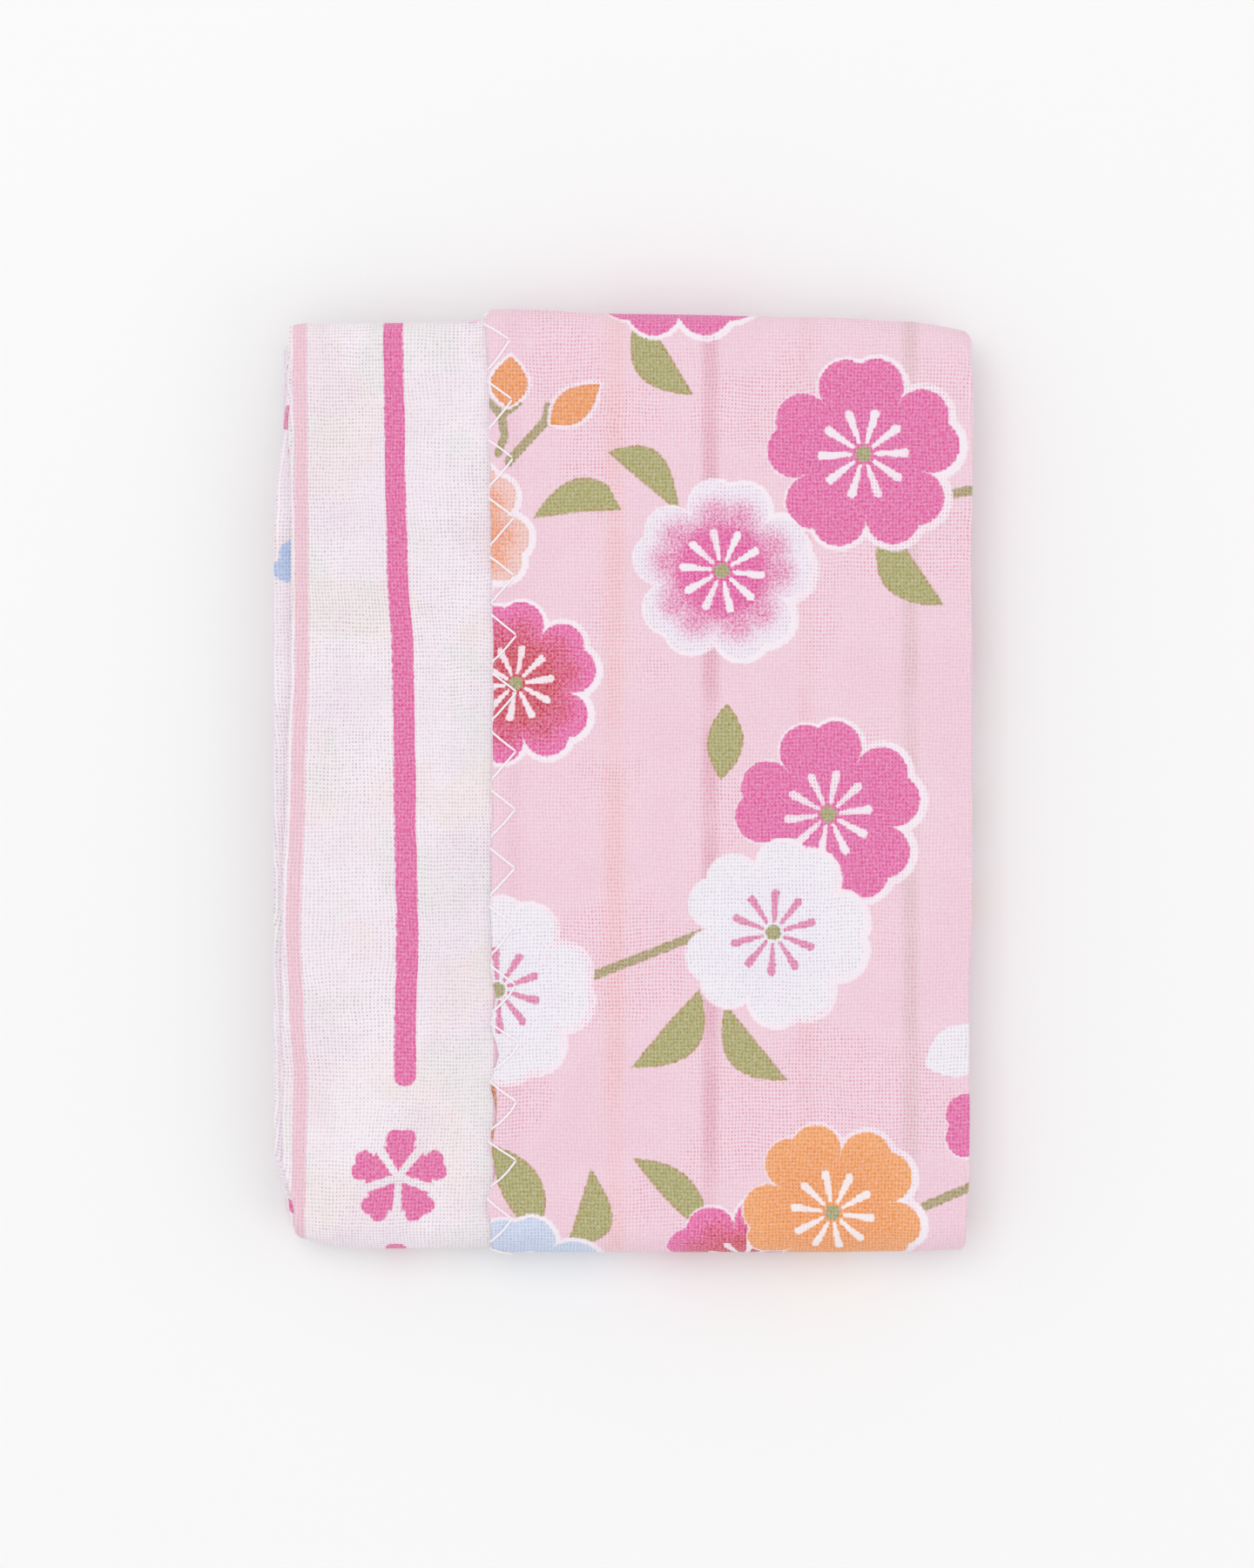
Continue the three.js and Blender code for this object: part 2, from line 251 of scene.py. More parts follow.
# The print of one repeat. u and w are places on the flat cloth, and turn is in degrees from the far edge.
BLOSSOMS = rows_of(
    "layer kind u w radius turn",
    ("under", "magenta", 40.5, 174.0, 11.1, -7),
    ("under", "red", 30.6, 230.3, 10.4, -47),
    ("under", "magenta", 63.1, 211.4, 8.6, -18),
    ("over", "magenta", 22.6, 106.3, 10.8, 0),
    ("over", "magenta", 44.7, 130.8, 11.5, -2),
    ("over", "fading", 27.7, 144.8, 10.7, 6),
    ("over", "red", 3.0, 158.3, 9.7, -8),
    ("over", "peach", -4.3, 140.2, 8.9, 36),
    ("over", "white", 33.9, 188.2, 10.9, 21),
    ("over", "white", 0.8, 195.1, 10.9, 15),
    ("over", "blue", 3.5, 232.8, 10.4, -3),
    ("over", "orange", 41.0, 221.8, 10.7, -28),
)

# A leaf lies between two bows, which reach low and high to the sides of the line between its tips
LEAVES = rows_of(
    "kind u w turn half low high skew outline",
    ("green", 21.1, 118.3, 59, 6.3, 0, 4.5, 0.1, 0),
    ("green", 50.8, 143.5, 56, 6.6, 0, 4.7, 0.1, 0),
    ("green", 11.2, 138.0, -5, 6.2, -4.4, -0.2, 0, 0),
    ("green", 18.3, 134.2, 40, 5.7, -3.8, 0.1, -0.35, 0),
    ("green", 20.9, 199.7, 131, 6.3, -4.4, 0.2, -0.15, 0),
    ("green", 31.9, 201.3, 51, 5.9, 0, 4.1, 0, 0),
    ("green", 2.9, 219.2, 63, 6.2, -3.4, 1.6, 0, 0),
    ("green", 10.4, 221.5, 107, 5.3, -4.4, 0, 0.25, 0),
    ("green", 21.6, 220.0, 46, 6.6, -3.2, 0.6, 0, 0),
    ("green", 28.0, 165.3, 95, 4.6, -2.3, 2.1, 0, 0),
    ("bud", 10.1, 124.8, -39, 3.8, -2.0, 2.0, -0.2, 0.5),
    ("bud", 2.2, 122.1, -87, 3.1, -2.2, 2.2, -0.2, 0.5),
    ("petal", 57.4, 201.8, 156, 5.8, -2.8, 2.8, 0.6, 0),
    ("sliver", 0.2, 198.4, 88, 1.5, -0.5, 0.5, 0, 0),
    ("sliver", 0.1, 208.2, 89, 5.2, -0.6, 0.6, 0, 0),
)
STEMS = rows_of(
    "start end half",
    ((53.9, 135.9), (61.3, 134.3), 0.6),
    ((11.7, 193.6), (25.0, 188.4), 0.56),
    ((52.1, 221.0), (60.2, 217.6), 0.56),
    ((6.4, 127.0), (6.9, 125.0), 0.47),
    ((6.4, 127.0), (9.7, 127.2), 0.47),
    ((6.4, 127.0), (2.1, 131.7), 0.55),
    ((1.3, 126.2), (-0.2, 124.6), 0.47),
    ((1.3, 126.2), (3.2, 124.7), 0.47),
    ((1.3, 126.2), (1.6, 128.7), 0.5),
    ((1.6, 128.7), (0.9, 130.7), 0.5),
)

# The striped face seen faintly through the flap, with painted shade along the same stripes
SHOW_THROUGH_AND_SHADE = [
    {"u": 2.7, "half": 1.3, "tint": (232, 176, 200), "strength": 0.3},
    {"u": 14.8, "half": 1.5, "tint": (244, 188, 186), "strength": 0.6},
    {"u": 26.3, "half": 1.2, "tint": (222, 154, 176), "strength": 0.8},
    {"u": 37.7, "half": 1.2, "tint": (236, 184, 192), "strength": 0.4},
    {"u": 50.3, "half": 1.2, "tint": (212, 178, 180), "strength": 0.6},
]

# The striped face: its stripes' middles are STRIPE_PITCH apart from the magenta one at STRIPE_U
STRIPE_U = 126.75
STRIPE_PITCH = 12.1
STRIPE_PERIOD = 125
STRIPE_GAP = 19.6
STRIPE_END_W = 206.7
SPRIG_W = 217.6

# Two sprigs in other colours, on the fold that stands out on the left
SIDE_SPRIGS = [
    {"u": 296.3, "w": 145.6, "radius": 8.5, "colour": (176, 200, 236)},
    {"u": 299.6, "w": 127.5, "radius": 5, "colour": (226, 130, 170)},
]

# Faint clouds of colour that come through from the middle layer
GHOSTS = [
    {"shift": (0, 0, 0), "colour": (228, 236, 228), "strength": 0.5},
    {"shift": (60, 11, 0), "colour": (250, 230, 222), "strength": 0.4},
    {"shift": (23, 70, 0), "colour": (244, 226, 238), "strength": 0.5},
]
SPRIG_RADIUS = 6.05
SPRIG = {
    "lobe_out": 0.77, "lobe_aside": 0.12, "lobe_radius": 0.183,
    "body_out": 0.61, "body_radius": 0.255, "start": 0.12, "widening": 0.68,
}
STRIPES = [
    {"name": "magenta", "colour": (233, 89, 162), "half": 1.3},
    {"name": "pale pink", "colour": (243, 194, 208), "half": 0.85},
]

# The hem's zigzag thread: how far in it is sewn, where on the flat cloth its stitches start, and how many
# lines of points from the hem it lies on
STITCH_WIDTH = 2.75
STITCH_START_W = 117.4
HEM_COLUMNS = 12

# The photo's view, straight down
CAMERA_X = 0.47
CAMERA_Y = -0.37
CAMERA_HEIGHT = 800
PHOTO_HEIGHT = 188.1
SENSOR_HEIGHT = 36

# The rest of the stage, in metres
FLOOR_Z = -0.0004
FLOOR_REACH = 3
FLOOR_COLOUR = (246, 246, 246)
DAYLIGHT = 0.855
LIGHTS = [
    {"name": "soft overhead", "place": (-0.25, 0.3, 1.0), "size": 0.7, "power": 2.0},
    {"name": "soft side", "place": (0.7, -0.4, 0.6), "size": 0.6, "power": 0.5},
]


def ease(share):
    """A soft step from 0 to 1."""
    held = np.clip(share, 0, 1)
    return held * held * (3 - 2 * held)


def read_table(table, column, place):
    """A column of a table at one place or many, eased from row to row."""
    at = np.asarray(table["at"], float)
    values = np.asarray(table[column], float)
    held = np.clip(place, at[0], at[-1])
    after = np.clip(np.searchsorted(at, held), 1, len(at) - 1)
    share = ease((held - at[after - 1]) / (at[after] - at[after - 1]))
    return values[after - 1] + (values[after] - values[after - 1]) * share


def half_ring(radius):
    """The length of half an ellipse that is as high as radius and FOLD_FLATNESS times as deep."""
    squash = 3 * (1 + FOLD_FLATNESS) - math.sqrt((3 * FOLD_FLATNESS + 1) * (FOLD_FLATNESS + 3))
    return math.pi / 2 * radius * squash


def far_centre(x):
    """Where the bend of the far fold is centred, along Y."""
    return FAR - read_table(EDGE_LINES, "far", x) - FOLD_FLATNESS * (FAR_FOLD_RADIUS + HALF_STRIP)


def near_centre(x):
    """Where the bend of the near fold is centred, along Y."""
    return NEAR + read_table(EDGE_LINES, "near", x) + FOLD_FLATNESS * (NEAR_FOLD_RADIUS + HALF_STRIP)


def crowded(count, crowding):
    """Places from 0 to 1, closer together at both ends."""
    even = np.linspace(0, 1, count)
    return even + crowding * ((1 - np.cos(math.pi * even)) / 2 - even)


class Stations:
    """The rows of the sheet, from the tucked end round both folds to the end underneath."""

    ZONES = ("far third", "far fold", "middle", "near fold", "near third")

    def __init__(self, sizes):
        end = np.array(END_LINES) / THIRD
        counts = (sizes.hidden_rows, sizes.fold_rows, sizes.middle_rows, sizes.fold_rows, sizes.under_rows)
        shares = [
            np.concatenate([end, crowded(counts[0], 0.5)[1:-1] * (1 - end[-1]) + end[-1]]),
            np.linspace(0, 1, counts[1])[:-1],
            crowded(counts[2], 0.35)[:-1],
            np.linspace(0, 1, counts[3])[:-1],
            np.concatenate([crowded(counts[4], 0.5)[:-1] * (1 - end[-1]), 1 - end[::-1]]),
        ]
        self.zone = np.concatenate([np.full(len(part), row) for row, part in enumerate(shares)])
        self.share = np.concatenate(shares)
        self.count = len(self.share)

    def pick(self, by_zone):
        """One value for each row from one array for each zone."""
        return np.select([self.zone == row for row in range(len(self.ZONES))], by_zone)

    def turns(self, name):
        """How far an edge or fold strays from straight at each row."""
        out = 1 - self.share
        return self.pick([
            read_table(FAR_STRAYING, name, out),
            np.full(self.count, MIDDLE_STRAYING[name][-1]),
            read_table(MIDDLE_STRAYING, name, out),
            np.full(self.count, MIDDLE_STRAYING[name][0]),
            read_table(NEAR_STRAYING, name, self.share),
        ])

    def level_w(self):
        """The place w along the middle third, held at its ends in the other rows."""
        far, near = far_centre(0.0), near_centre(0.0)
        start, end = np.zeros(self.count), np.ones(self.count)
        share = self.pick([start, start, self.share, end, end])
        return MIDDLE_W - far - (near - far) * share

    def settled(self):
        """0 where the hem's step shows, 1 underneath, where the table holds the leaves level."""
        nothing = np.zeros(self.count)
        return self.pick([nothing, nothing, nothing, ease(self.share), nothing + 1])

    def place(self, x, rise):
        """Y, Z and the place w on the flat cloth, for points of the section at each row."""
        share = self.share[:, None]
        far, near = far_centre(x), near_centre(x)
        far_ring, near_ring = half_ring(FAR_FOLD_RADIUS + rise), half_ring(NEAR_FOLD_RADIUS + rise)
        lag = half_ring(rise)
        tucked_end = near + TUCKED_CLEARANCE + lag
        under_end = FAR - UNDER_CLEARANCE - lag + 0 * x
        far_y = tucked_end + (far - tucked_end) * share
        middle_y = far + (near - far) * share
        under_y = near + (under_end - near) * share
        far_angle, near_angle = math.pi * (share - 0.5), math.pi * (share + 0.5)
        y = self.pick_points([
            far_y,
            far + FOLD_FLATNESS * (FAR_FOLD_RADIUS + rise) * np.cos(far_angle),
            middle_y,
            near + FOLD_FLATNESS * (NEAR_FOLD_RADIUS + rise) * np.cos(near_angle),
            under_y,
        ])
        z = self.pick_points([
            FAR_THIRD_HEIGHT - rise,
            FAR_THIRD_HEIGHT + FAR_FOLD_RADIUS + (FAR_FOLD_RADIUS + rise) * np.sin(far_angle),
            MIDDLE_THIRD_HEIGHT + rise,
            NEAR_THIRD_HEIGHT + NEAR_FOLD_RADIUS + (NEAR_FOLD_RADIUS + rise) * np.sin(near_angle),
            NEAR_THIRD_HEIGHT - rise,
        ])
        w = self.pick_points([
            MIDDLE_W - far - far_ring - (far - far_y),
            MIDDLE_W - far - far_ring * (1 - share),
            MIDDLE_W - middle_y,
            MIDDLE_W - near + near_ring * share,
            MIDDLE_W - near + near_ring + (under_y - near),
        ])
        return y, z, w

    def pick_points(self, by_zone):
        """One value for each point from one grid of points for each zone."""
        zones = range(len(self.ZONES))
        masks = [np.broadcast_to((self.zone == row)[:, None], by_zone[0].shape) for row in zones]
        return np.select(masks, by_zone)


def press_marks(x, rows):
    """The soft troughs and ridges of the pressed top, for points across the section at each row."""
    y = MIDDLE_W - rows.level_w()[:, None]
    height = 0 * x
    for mark in PRESS_MARKS:
        across = (x - mark["x"]) / mark["wide"]
        along = np.clip(abs(y - mark["y"]) / mark["long"], 0, 1)
        height += mark["height"] * np.exp(-across * across) * (1 - ease(along))
    for size, amount in UNEVENNESS:
        height += amount * np.sin(x / size + 2 * np.sin(y / size / WAVE_CROSSING)) * np.sin(y / size + size)
    on_top = rows.zone == MIDDLE_ZONE
    return height * (on_top * np.sin(math.pi * rows.share) ** PRESSED_FADE)[:, None]


class Section:
    """The columns of the sheet: the zigzag of leaves across the strip, worked out for every row at once."""

    def __init__(self, sizes, rows):
        self.sheet = sizes.thickness / MM
        self.rows = rows
        self.hem = HEM_X + rows.turns("hem")[:, None] + self.scallops()[:, None]
        self.right = RIGHT + rows.turns("right")[:, None]
        self.upper = LEFT + LEFT_LEDGE + rows.turns("upper_left")[:, None]
        self.lower = np.minimum(LEFT + rows.turns("lower_left")[:, None], self.upper - LEAST_LEDGE)
        self.tail_end = self.lower + sizes.tail / MM
        self.settle = rows.settled()[:, None]
        self.build(sizes)

    def scallops(self):
        """The hem's edge is nipped in at each stitch, most of all towards the near fold."""
        w = self.rows.level_w()
        growth = ease((w - SCALLOP_GROWS_W) / SCALLOP_GROWS_OVER)
        depth = LEAST_SCALLOP + (MOST_SCALLOP - LEAST_SCALLOP) * growth
        return depth * np.cos(math.tau * w / STITCH_PITCH)

    def levels(self, x):
        """The height of each of the five leaves' middle lines at a place across the strip."""
        half = self.sheet / 2
        top, bottom = HALF_STRIP - half, half - HALF_STRIP
        open_top = top - HEM_STEP * (1 - self.settle)
        beside = ease((self.hem - HEM_SLOPE[0] - x) / HEM_SLOPE[1])
        tail = 1 - ease((x - self.tail_end + TAIL_SLOPE[0]) / TAIL_SLOPE[1])
        leaves = 3 + tail
        second = (top - (top - bottom) / leaves) * (1 - beside) + open_top * beside
        gaps = 2 + tail
        step = (second - bottom) / gaps
        return [top + 0 * x, second, second - step, second - 2 * step, bottom + 0 * x]

    def run(self, leaf, start, end, shares):
        """The flat part of a leaf."""
        x = start + (end - start) * shares[None, :]
        return x, self.levels(x)[leaf]

    def fold(self, leaf, tip, side, shares):
        """The bend from a leaf to the one under it. side is 1 on the right and -1 on the left."""
        inner = tip - side * FOLD_INSET
        levels = self.levels(inner)
        radius = (levels[leaf] - levels[leaf + 1]) / 2
        centre = tip - side * (SIDE_FOLD_FLATNESS * radius + self.sheet / 2)
        angle = math.pi * shares[None, :]
        x = centre + side * SIDE_FOLD_FLATNESS * radius * np.sin(angle)
        return x, (levels[leaf] + levels[leaf + 1]) / 2 + radius * np.cos(angle), centre

    def build(self, sizes):
        """Works out the section's points, their flat places and their normals, leaf by leaf."""
        bend = np.linspace(0, 1, sizes.bend_columns)[1:-1]
        edge = np.array(HEM_LINES) / FLAP_LENGTH
        flap = np.concatenate([edge, np.linspace(FIRST_FLAP_LINE / FLAP_LENGTH, 1, sizes.flap_columns)])
        panel = crowded(sizes.panel_columns, 0.4)
        hidden = crowded(sizes.hidden_columns, 0.6)
        tail = crowded(sizes.tail_columns, 0.4)
        self.inner = self.right - INNER_FOLD_INSET
        bends = [
            self.fold(0, self.right, 1, bend),
            self.fold(1, self.upper, -1, bend),
            self.fold(2, self.inner, 1, bend),
            self.fold(3, self.lower, -1, bend),
        ]
        centre = [part[2] for part in bends]
        parts = [
            self.run(0, self.hem, centre[0], flap),
            bends[0][:2],
            self.run(1, centre[0], centre[1], panel),
            bends[1][:2],
            self.run(2, centre[1], centre[2], hidden),
            bends[2][:2],
            self.run(3, centre[2], centre[3], hidden),
            bends[3][:2],
            self.run(4, centre[3], self.tail_end, tail),
        ]
        self.x = np.hstack([part[0] + 0 * self.hem for part in parts])
        self.rise = np.hstack([part[1] + 0 * self.hem for part in parts])
        self.zone = np.concatenate([np.full(part[0].shape[1], row) for row, part in enumerate(parts)])
        self.rise += press_marks(self.x, self.rows) + self.hem_ripple()
        self.u = self.flat_place()
        self.normal_x, self.normal_rise = self.normals()

    def hem_ripple(self):
        """The hem is drawn in by its stitches, so it rises and falls a little from stitch to stitch."""
        near_hem = np.exp(-(self.x - self.hem) / HEM_RIPPLE_REACH) * (self.zone == FLAP_ZONE)
        return HEM_RIPPLE * np.sin(math.tau * self.rows.level_w() / STITCH_PITCH)[:, None] * near_hem

    def flat_place(self):
        """The place u on the flat cloth, measured along the leaves and pulled where the weave is loose."""
        steps = np.hypot(np.diff(self.x, axis=1), np.diff(self.rise, axis=1))
        first = self.x[:, :1] - HEM_X
        u = np.hstack([first, first + np.cumsum(steps, axis=1)])
        panel = self.zone == PANEL_ZONE
        pulled = self.pulled_print(self.x[:, panel])
        u[:, panel] += pulled
        u[:, self.zone > PANEL_ZONE] += pulled[:, -1:]
        return u

    def pulled_print(self, x):
        """How much further along the flat cloth each point lies, as the print is pulled to the right.

        A right fold that strays inwards shortens both leaves that meet at it, so its straying counts twice.
        """
        w = self.rows.level_w()[:, None]
        magenta = read_table(PULLED, "magenta", w)
        pale = read_table(PULLED, "pale", w)
        between = np.clip((x - PALE_STRIPE_X) / (MAGENTA_STRIPE_X - PALE_STRIPE_X), 0, 1)
        straight = RIGHT - self.right
        return (pale + (magenta - pale) * between) * ease((self.hem - 1 - x) / 8) + 2 * straight

    def normals(self):
        """The way out of the printed face, across the strip and up."""
        along_x = np.gradient(self.x, axis=1)
        along_rise = np.gradient(self.rise, axis=1)
        length = np.hypot(along_x, along_rise)
        return -along_rise / length, along_x / length


def skins(section, rows, half):
    """The two faces of the cloth as grids of points, with the flat place (u, w) of each point."""
    edge = np.minimum(np.arange(section.x.shape[1]), np.arange(section.x.shape[1])[::-1])
    end = np.minimum(np.arange(rows.count), np.arange(rows.count)[::-1])
    rounding = np.array(EDGE_ROUNDING)
    inmost = len(EDGE_ROUNDING) - 1
    full = rounding[np.minimum(edge, inmost)][None, :] * rounding[np.minimum(end, inmost)][:, None]
    faces = []
    for side in (1, -1):
        x = section.x + side * half * full * section.normal_x
        rise = section.rise + side * half * full * section.normal_rise
        y, z, _ = rows.place(x, rise)
        faces.append(np.stack([x, y, z], axis=-1))
    w = rows.place(section.x, section.rise)[2]
    return faces[0], faces[1], np.stack([section.u, w], axis=-1)


def sheet_faces(row_count, column_count):
    """Quads of the printed face, of the striped face and of the edges round them, facing out."""
    grid = np.arange(row_count * column_count).reshape(row_count, column_count)
    back = grid + row_count * column_count
    front = np.stack([grid[:-1, :-1], grid[1:, :-1], grid[1:, 1:], grid[:-1, 1:]], axis=-1).reshape(-1, 4)
    rear = np.stack([back[:-1, :-1], back[:-1, 1:], back[1:, 1:], back[1:, :-1]], axis=-1).reshape(-1, 4)

    def strip(along, reverse):
        over, under = grid.ravel()[along], back.ravel()[along]
        quads = np.stack([over[:-1], over[1:], under[1:], under[:-1]], axis=-1)
        return quads[:, ::-1] if reverse else quads

    edges = [
        strip(grid[:, 0], True),
        strip(grid[:, -1], False),
        strip(grid[0], False),
        strip(grid[-1], True),
    ]
    return front, rear, np.concatenate(edges)


def atlas_scale(place, zones):
    """A place on the flat cloth moved so that the zones that show get most of the room."""
    placed = 0 * place
    for start, end, scale in zones:
        placed += scale * np.clip(place - start, 0, end - start)
    return placed


def atlas_size(zones):
    """The whole room that the zones take."""
    return sum(scale * (end - start) for start, end, scale in zones)


def atlas_map(flat, front_corners):
    """The finished texture's layout: the printed face on the left, the striped one beside it."""
    front_width, back_width = atlas_size(ATLAS_FRONT_U), atlas_size(ATLAS_BACK_U)
    across_front = atlas_scale(flat[:, 0], ATLAS_FRONT_U)
    across_back = atlas_scale(flat[:, 0], ATLAS_BACK_U) + front_width + ATLAS_GAP
    across = np.where(front_corners, across_front, across_back)
    down = atlas_scale(flat[:, 1], ATLAS_W)
    margin = ATLAS_GAP / 2
    width = front_width + back_width + 2 * ATLAS_GAP
    height = atlas_size(ATLAS_W) + ATLAS_GAP
    return np.stack([(across + margin) / width, (down + margin) / height], axis=-1)


def mesh_piece(name, points, faces, materials, material_numbers):
    """A finished mesh piece, its points in millimetres, at the origin."""
    mesh = bpy.data.meshes.new(name)
    mesh.from_pydata((points * MM).tolist(), [], faces.tolist())
    for material in materials:
        mesh.materials.append(material)
    mesh.polygons.foreach_set("material_index", material_numbers)
    mesh.shade_smooth()
    piece = bpy.data.objects.new(name, mesh)
    bpy.context.scene.collection.objects.link(piece)
    return piece


def add_map(mesh, name, places):
    """A UV map from one place for each face corner."""
    layer = mesh.uv_layers.new(name=name, do_init=False)
    layer.uv.foreach_set("vector", places.astype(np.float32).ravel())


def gauze_sheet(sizes, materials):
    """The whole cloth: its two faces and its edges as one closed sheet, folded both ways."""
    rows = Stations(sizes)
    section = Section(sizes, rows)
    front, back, flat = skins(section, rows, section.sheet / 2)
    flat = flat.reshape(-1, 2)
    points = np.concatenate([front.reshape(-1, 3), back.reshape(-1, 3)])
    front_faces, back_faces, edge_faces = sheet_faces(rows.count, section.x.shape[1])
    faces = np.concatenate([front_faces, back_faces, edge_faces])
    numbers = np.repeat([0, 1, 0], [len(front_faces), len(back_faces), len(edge_faces)])
    piece = mesh_piece("gauze_cloth", points, faces, materials, numbers)
    corners = faces.ravel()
    places = np.concatenate([flat, flat])[corners]
    add_map(piece.data, CLOTH_MAP, places / CLOTH_SIDE)
    add_map(piece.data, ATLAS_MAP, atlas_map(places, np.repeat(numbers == 0, 4)))
    return piece


class Wires:
    """Makes and joins the nodes of one tree, in the order in which they are worked out."""

    def __init__(self, tree):
        self.tree = tree

    def node(self, kind, inputs=(), **settings):
        """A new node with its settings and with its inputs fed."""
        made = self.tree.nodes.new(kind)
        for name, value in settings.items():
            setattr(made, name, value)
        for key, value in dict(inputs).items():
            self.feed(made.inputs[key], value)
        return made

    def feed(self, socket, value):
        """Links or sets an input."""
        if isinstance(value, bpy.types.NodeSocket):
            self.tree.links.new(value, socket)
        else:
            socket.default_value = value

    def math(self, operation, *values, clamp=False):
        made = self.node("ShaderNodeMath", enumerate(values), operation=operation, use_clamp=clamp)
        return made.outputs[0]

    def times(self, value, other):
        """The product. This and the next four are the common sums by plain names."""
        return self.math("MULTIPLY", value, other)

    def plus(self, value, other):
        return self.math("ADD", value, other)

    def minus(self, value, other):
        return self.math("SUBTRACT", value, other)

    def least(self, value, other):
        return self.math("MINIMUM", value, other)

    def most(self, value, other):
        return self.math("MAXIMUM", value, other)

    def vector(self, operation, *values):
        places = (0, 3) if operation == "SCALE" else range(len(values))
        made = self.node("ShaderNodeVectorMath", zip(places, values), operation=operation)
        return made.outputs["Value" if operation in ("LENGTH", "DISTANCE", "DOT_PRODUCT") else "Vector"]

    def step(self, value, start, end, low=0.0, high=1.0):
        """A soft step of value, from low at start to high at end."""
        inputs = {"Value": value, "From Min": start, "From Max": end, "To Min": low, "To Max": high}
        return self.node("ShaderNodeMapRange", inputs, interpolation_type="SMOOTHSTEP").outputs[0]

    def mix(self, share, under, over, blend="MIX"):
        made = self.node("ShaderNodeMix", {"Factor": share}, data_type="RGBA", blend_type=blend)
        self.feed(made.inputs[6], under)
        self.feed(made.inputs[7], over)
        return made.outputs[2]

    def mix_vector(self, share, under, over):
        made = self.node("ShaderNodeMix", {0: share}, data_type="VECTOR", clamp_factor=False)
        self.feed(made.inputs[4], under)
        self.feed(made.inputs[5], over)
        return made.outputs[1]

    def mix_number(self, share, under, over):
        return self.node("ShaderNodeMix", {0: share, 2: under, 3: over}, data_type="FLOAT").outputs[0]

    def split(self, vector):
        return self.node("ShaderNodeSeparateXYZ", {0: vector}).outputs

    def join(self, x, y, z=0.0):
        return self.node("ShaderNodeCombineXYZ", {0: x, 1: y, 2: z}).outputs[0]

    def noise(self, vector, scale, detail=2.0, output="Fac", roughness=0.5):
        inputs = {"Vector": vector, "Scale": scale, "Detail": detail, "Roughness": roughness}
        return self.node("ShaderNodeTexNoise", inputs, noise_dimensions="2D").outputs[output]

    def chart(self, value, colours):
        """One colour for each whole number from 0."""
        share = self.math("DIVIDE", self.math("ADD", value, 0.5), float(len(colours)))
        ramp = self.node("ShaderNodeValToRGB", {"Fac": share})
        ramp.color_ramp.interpolation = "CONSTANT"
        elements = ramp.color_ramp.elements
        while len(elements) < len(colours):
            elements.new(1.0)
        for number, colour in enumerate(colours):
            elements[number].position = number / len(colours)
            elements[number].color = paint(colour)
        return ramp.outputs[0]

    def place(self, group, inputs=()):
        """A node group with its inputs fed."""
        made = self.node("ShaderNodeGroup", node_tree=group)
        for name, value in dict(inputs).items():
            self.feed(made.inputs[name], value)
        return made.outputs


def paint(colour):
    """The shader's colour for a colour of 0 to 255 as seen."""
    shares = [part / 255 for part in colour]
    linear = [part / 12.92 if part <= 0.04045 else ((part + 0.055) / 1.055) ** 2.4 for part in shares]
    return (*linear, 1.0)


SOCKETS = {"number": "NodeSocketFloat", "vector": "NodeSocketVector", "colour": "NodeSocketColor"}


def node_group(name, inputs, outputs, build):
    """A shader node group. inputs and outputs are names with number, vector or colour."""
    group = bpy.data.node_groups.new(name, "ShaderNodeTree")
    for label, kind in inputs.items():
        group.interface.new_socket(label, in_out="INPUT", socket_type=SOCKETS[kind])
    for label, kind in outputs.items():
        group.interface.new_socket(label, in_out="OUTPUT", socket_type=SOCKETS[kind])
    wires = Wires(group)
    results = build(wires, wires.node("NodeGroupInput").outputs)
    wires.node("NodeGroupOutput", results)
    return group


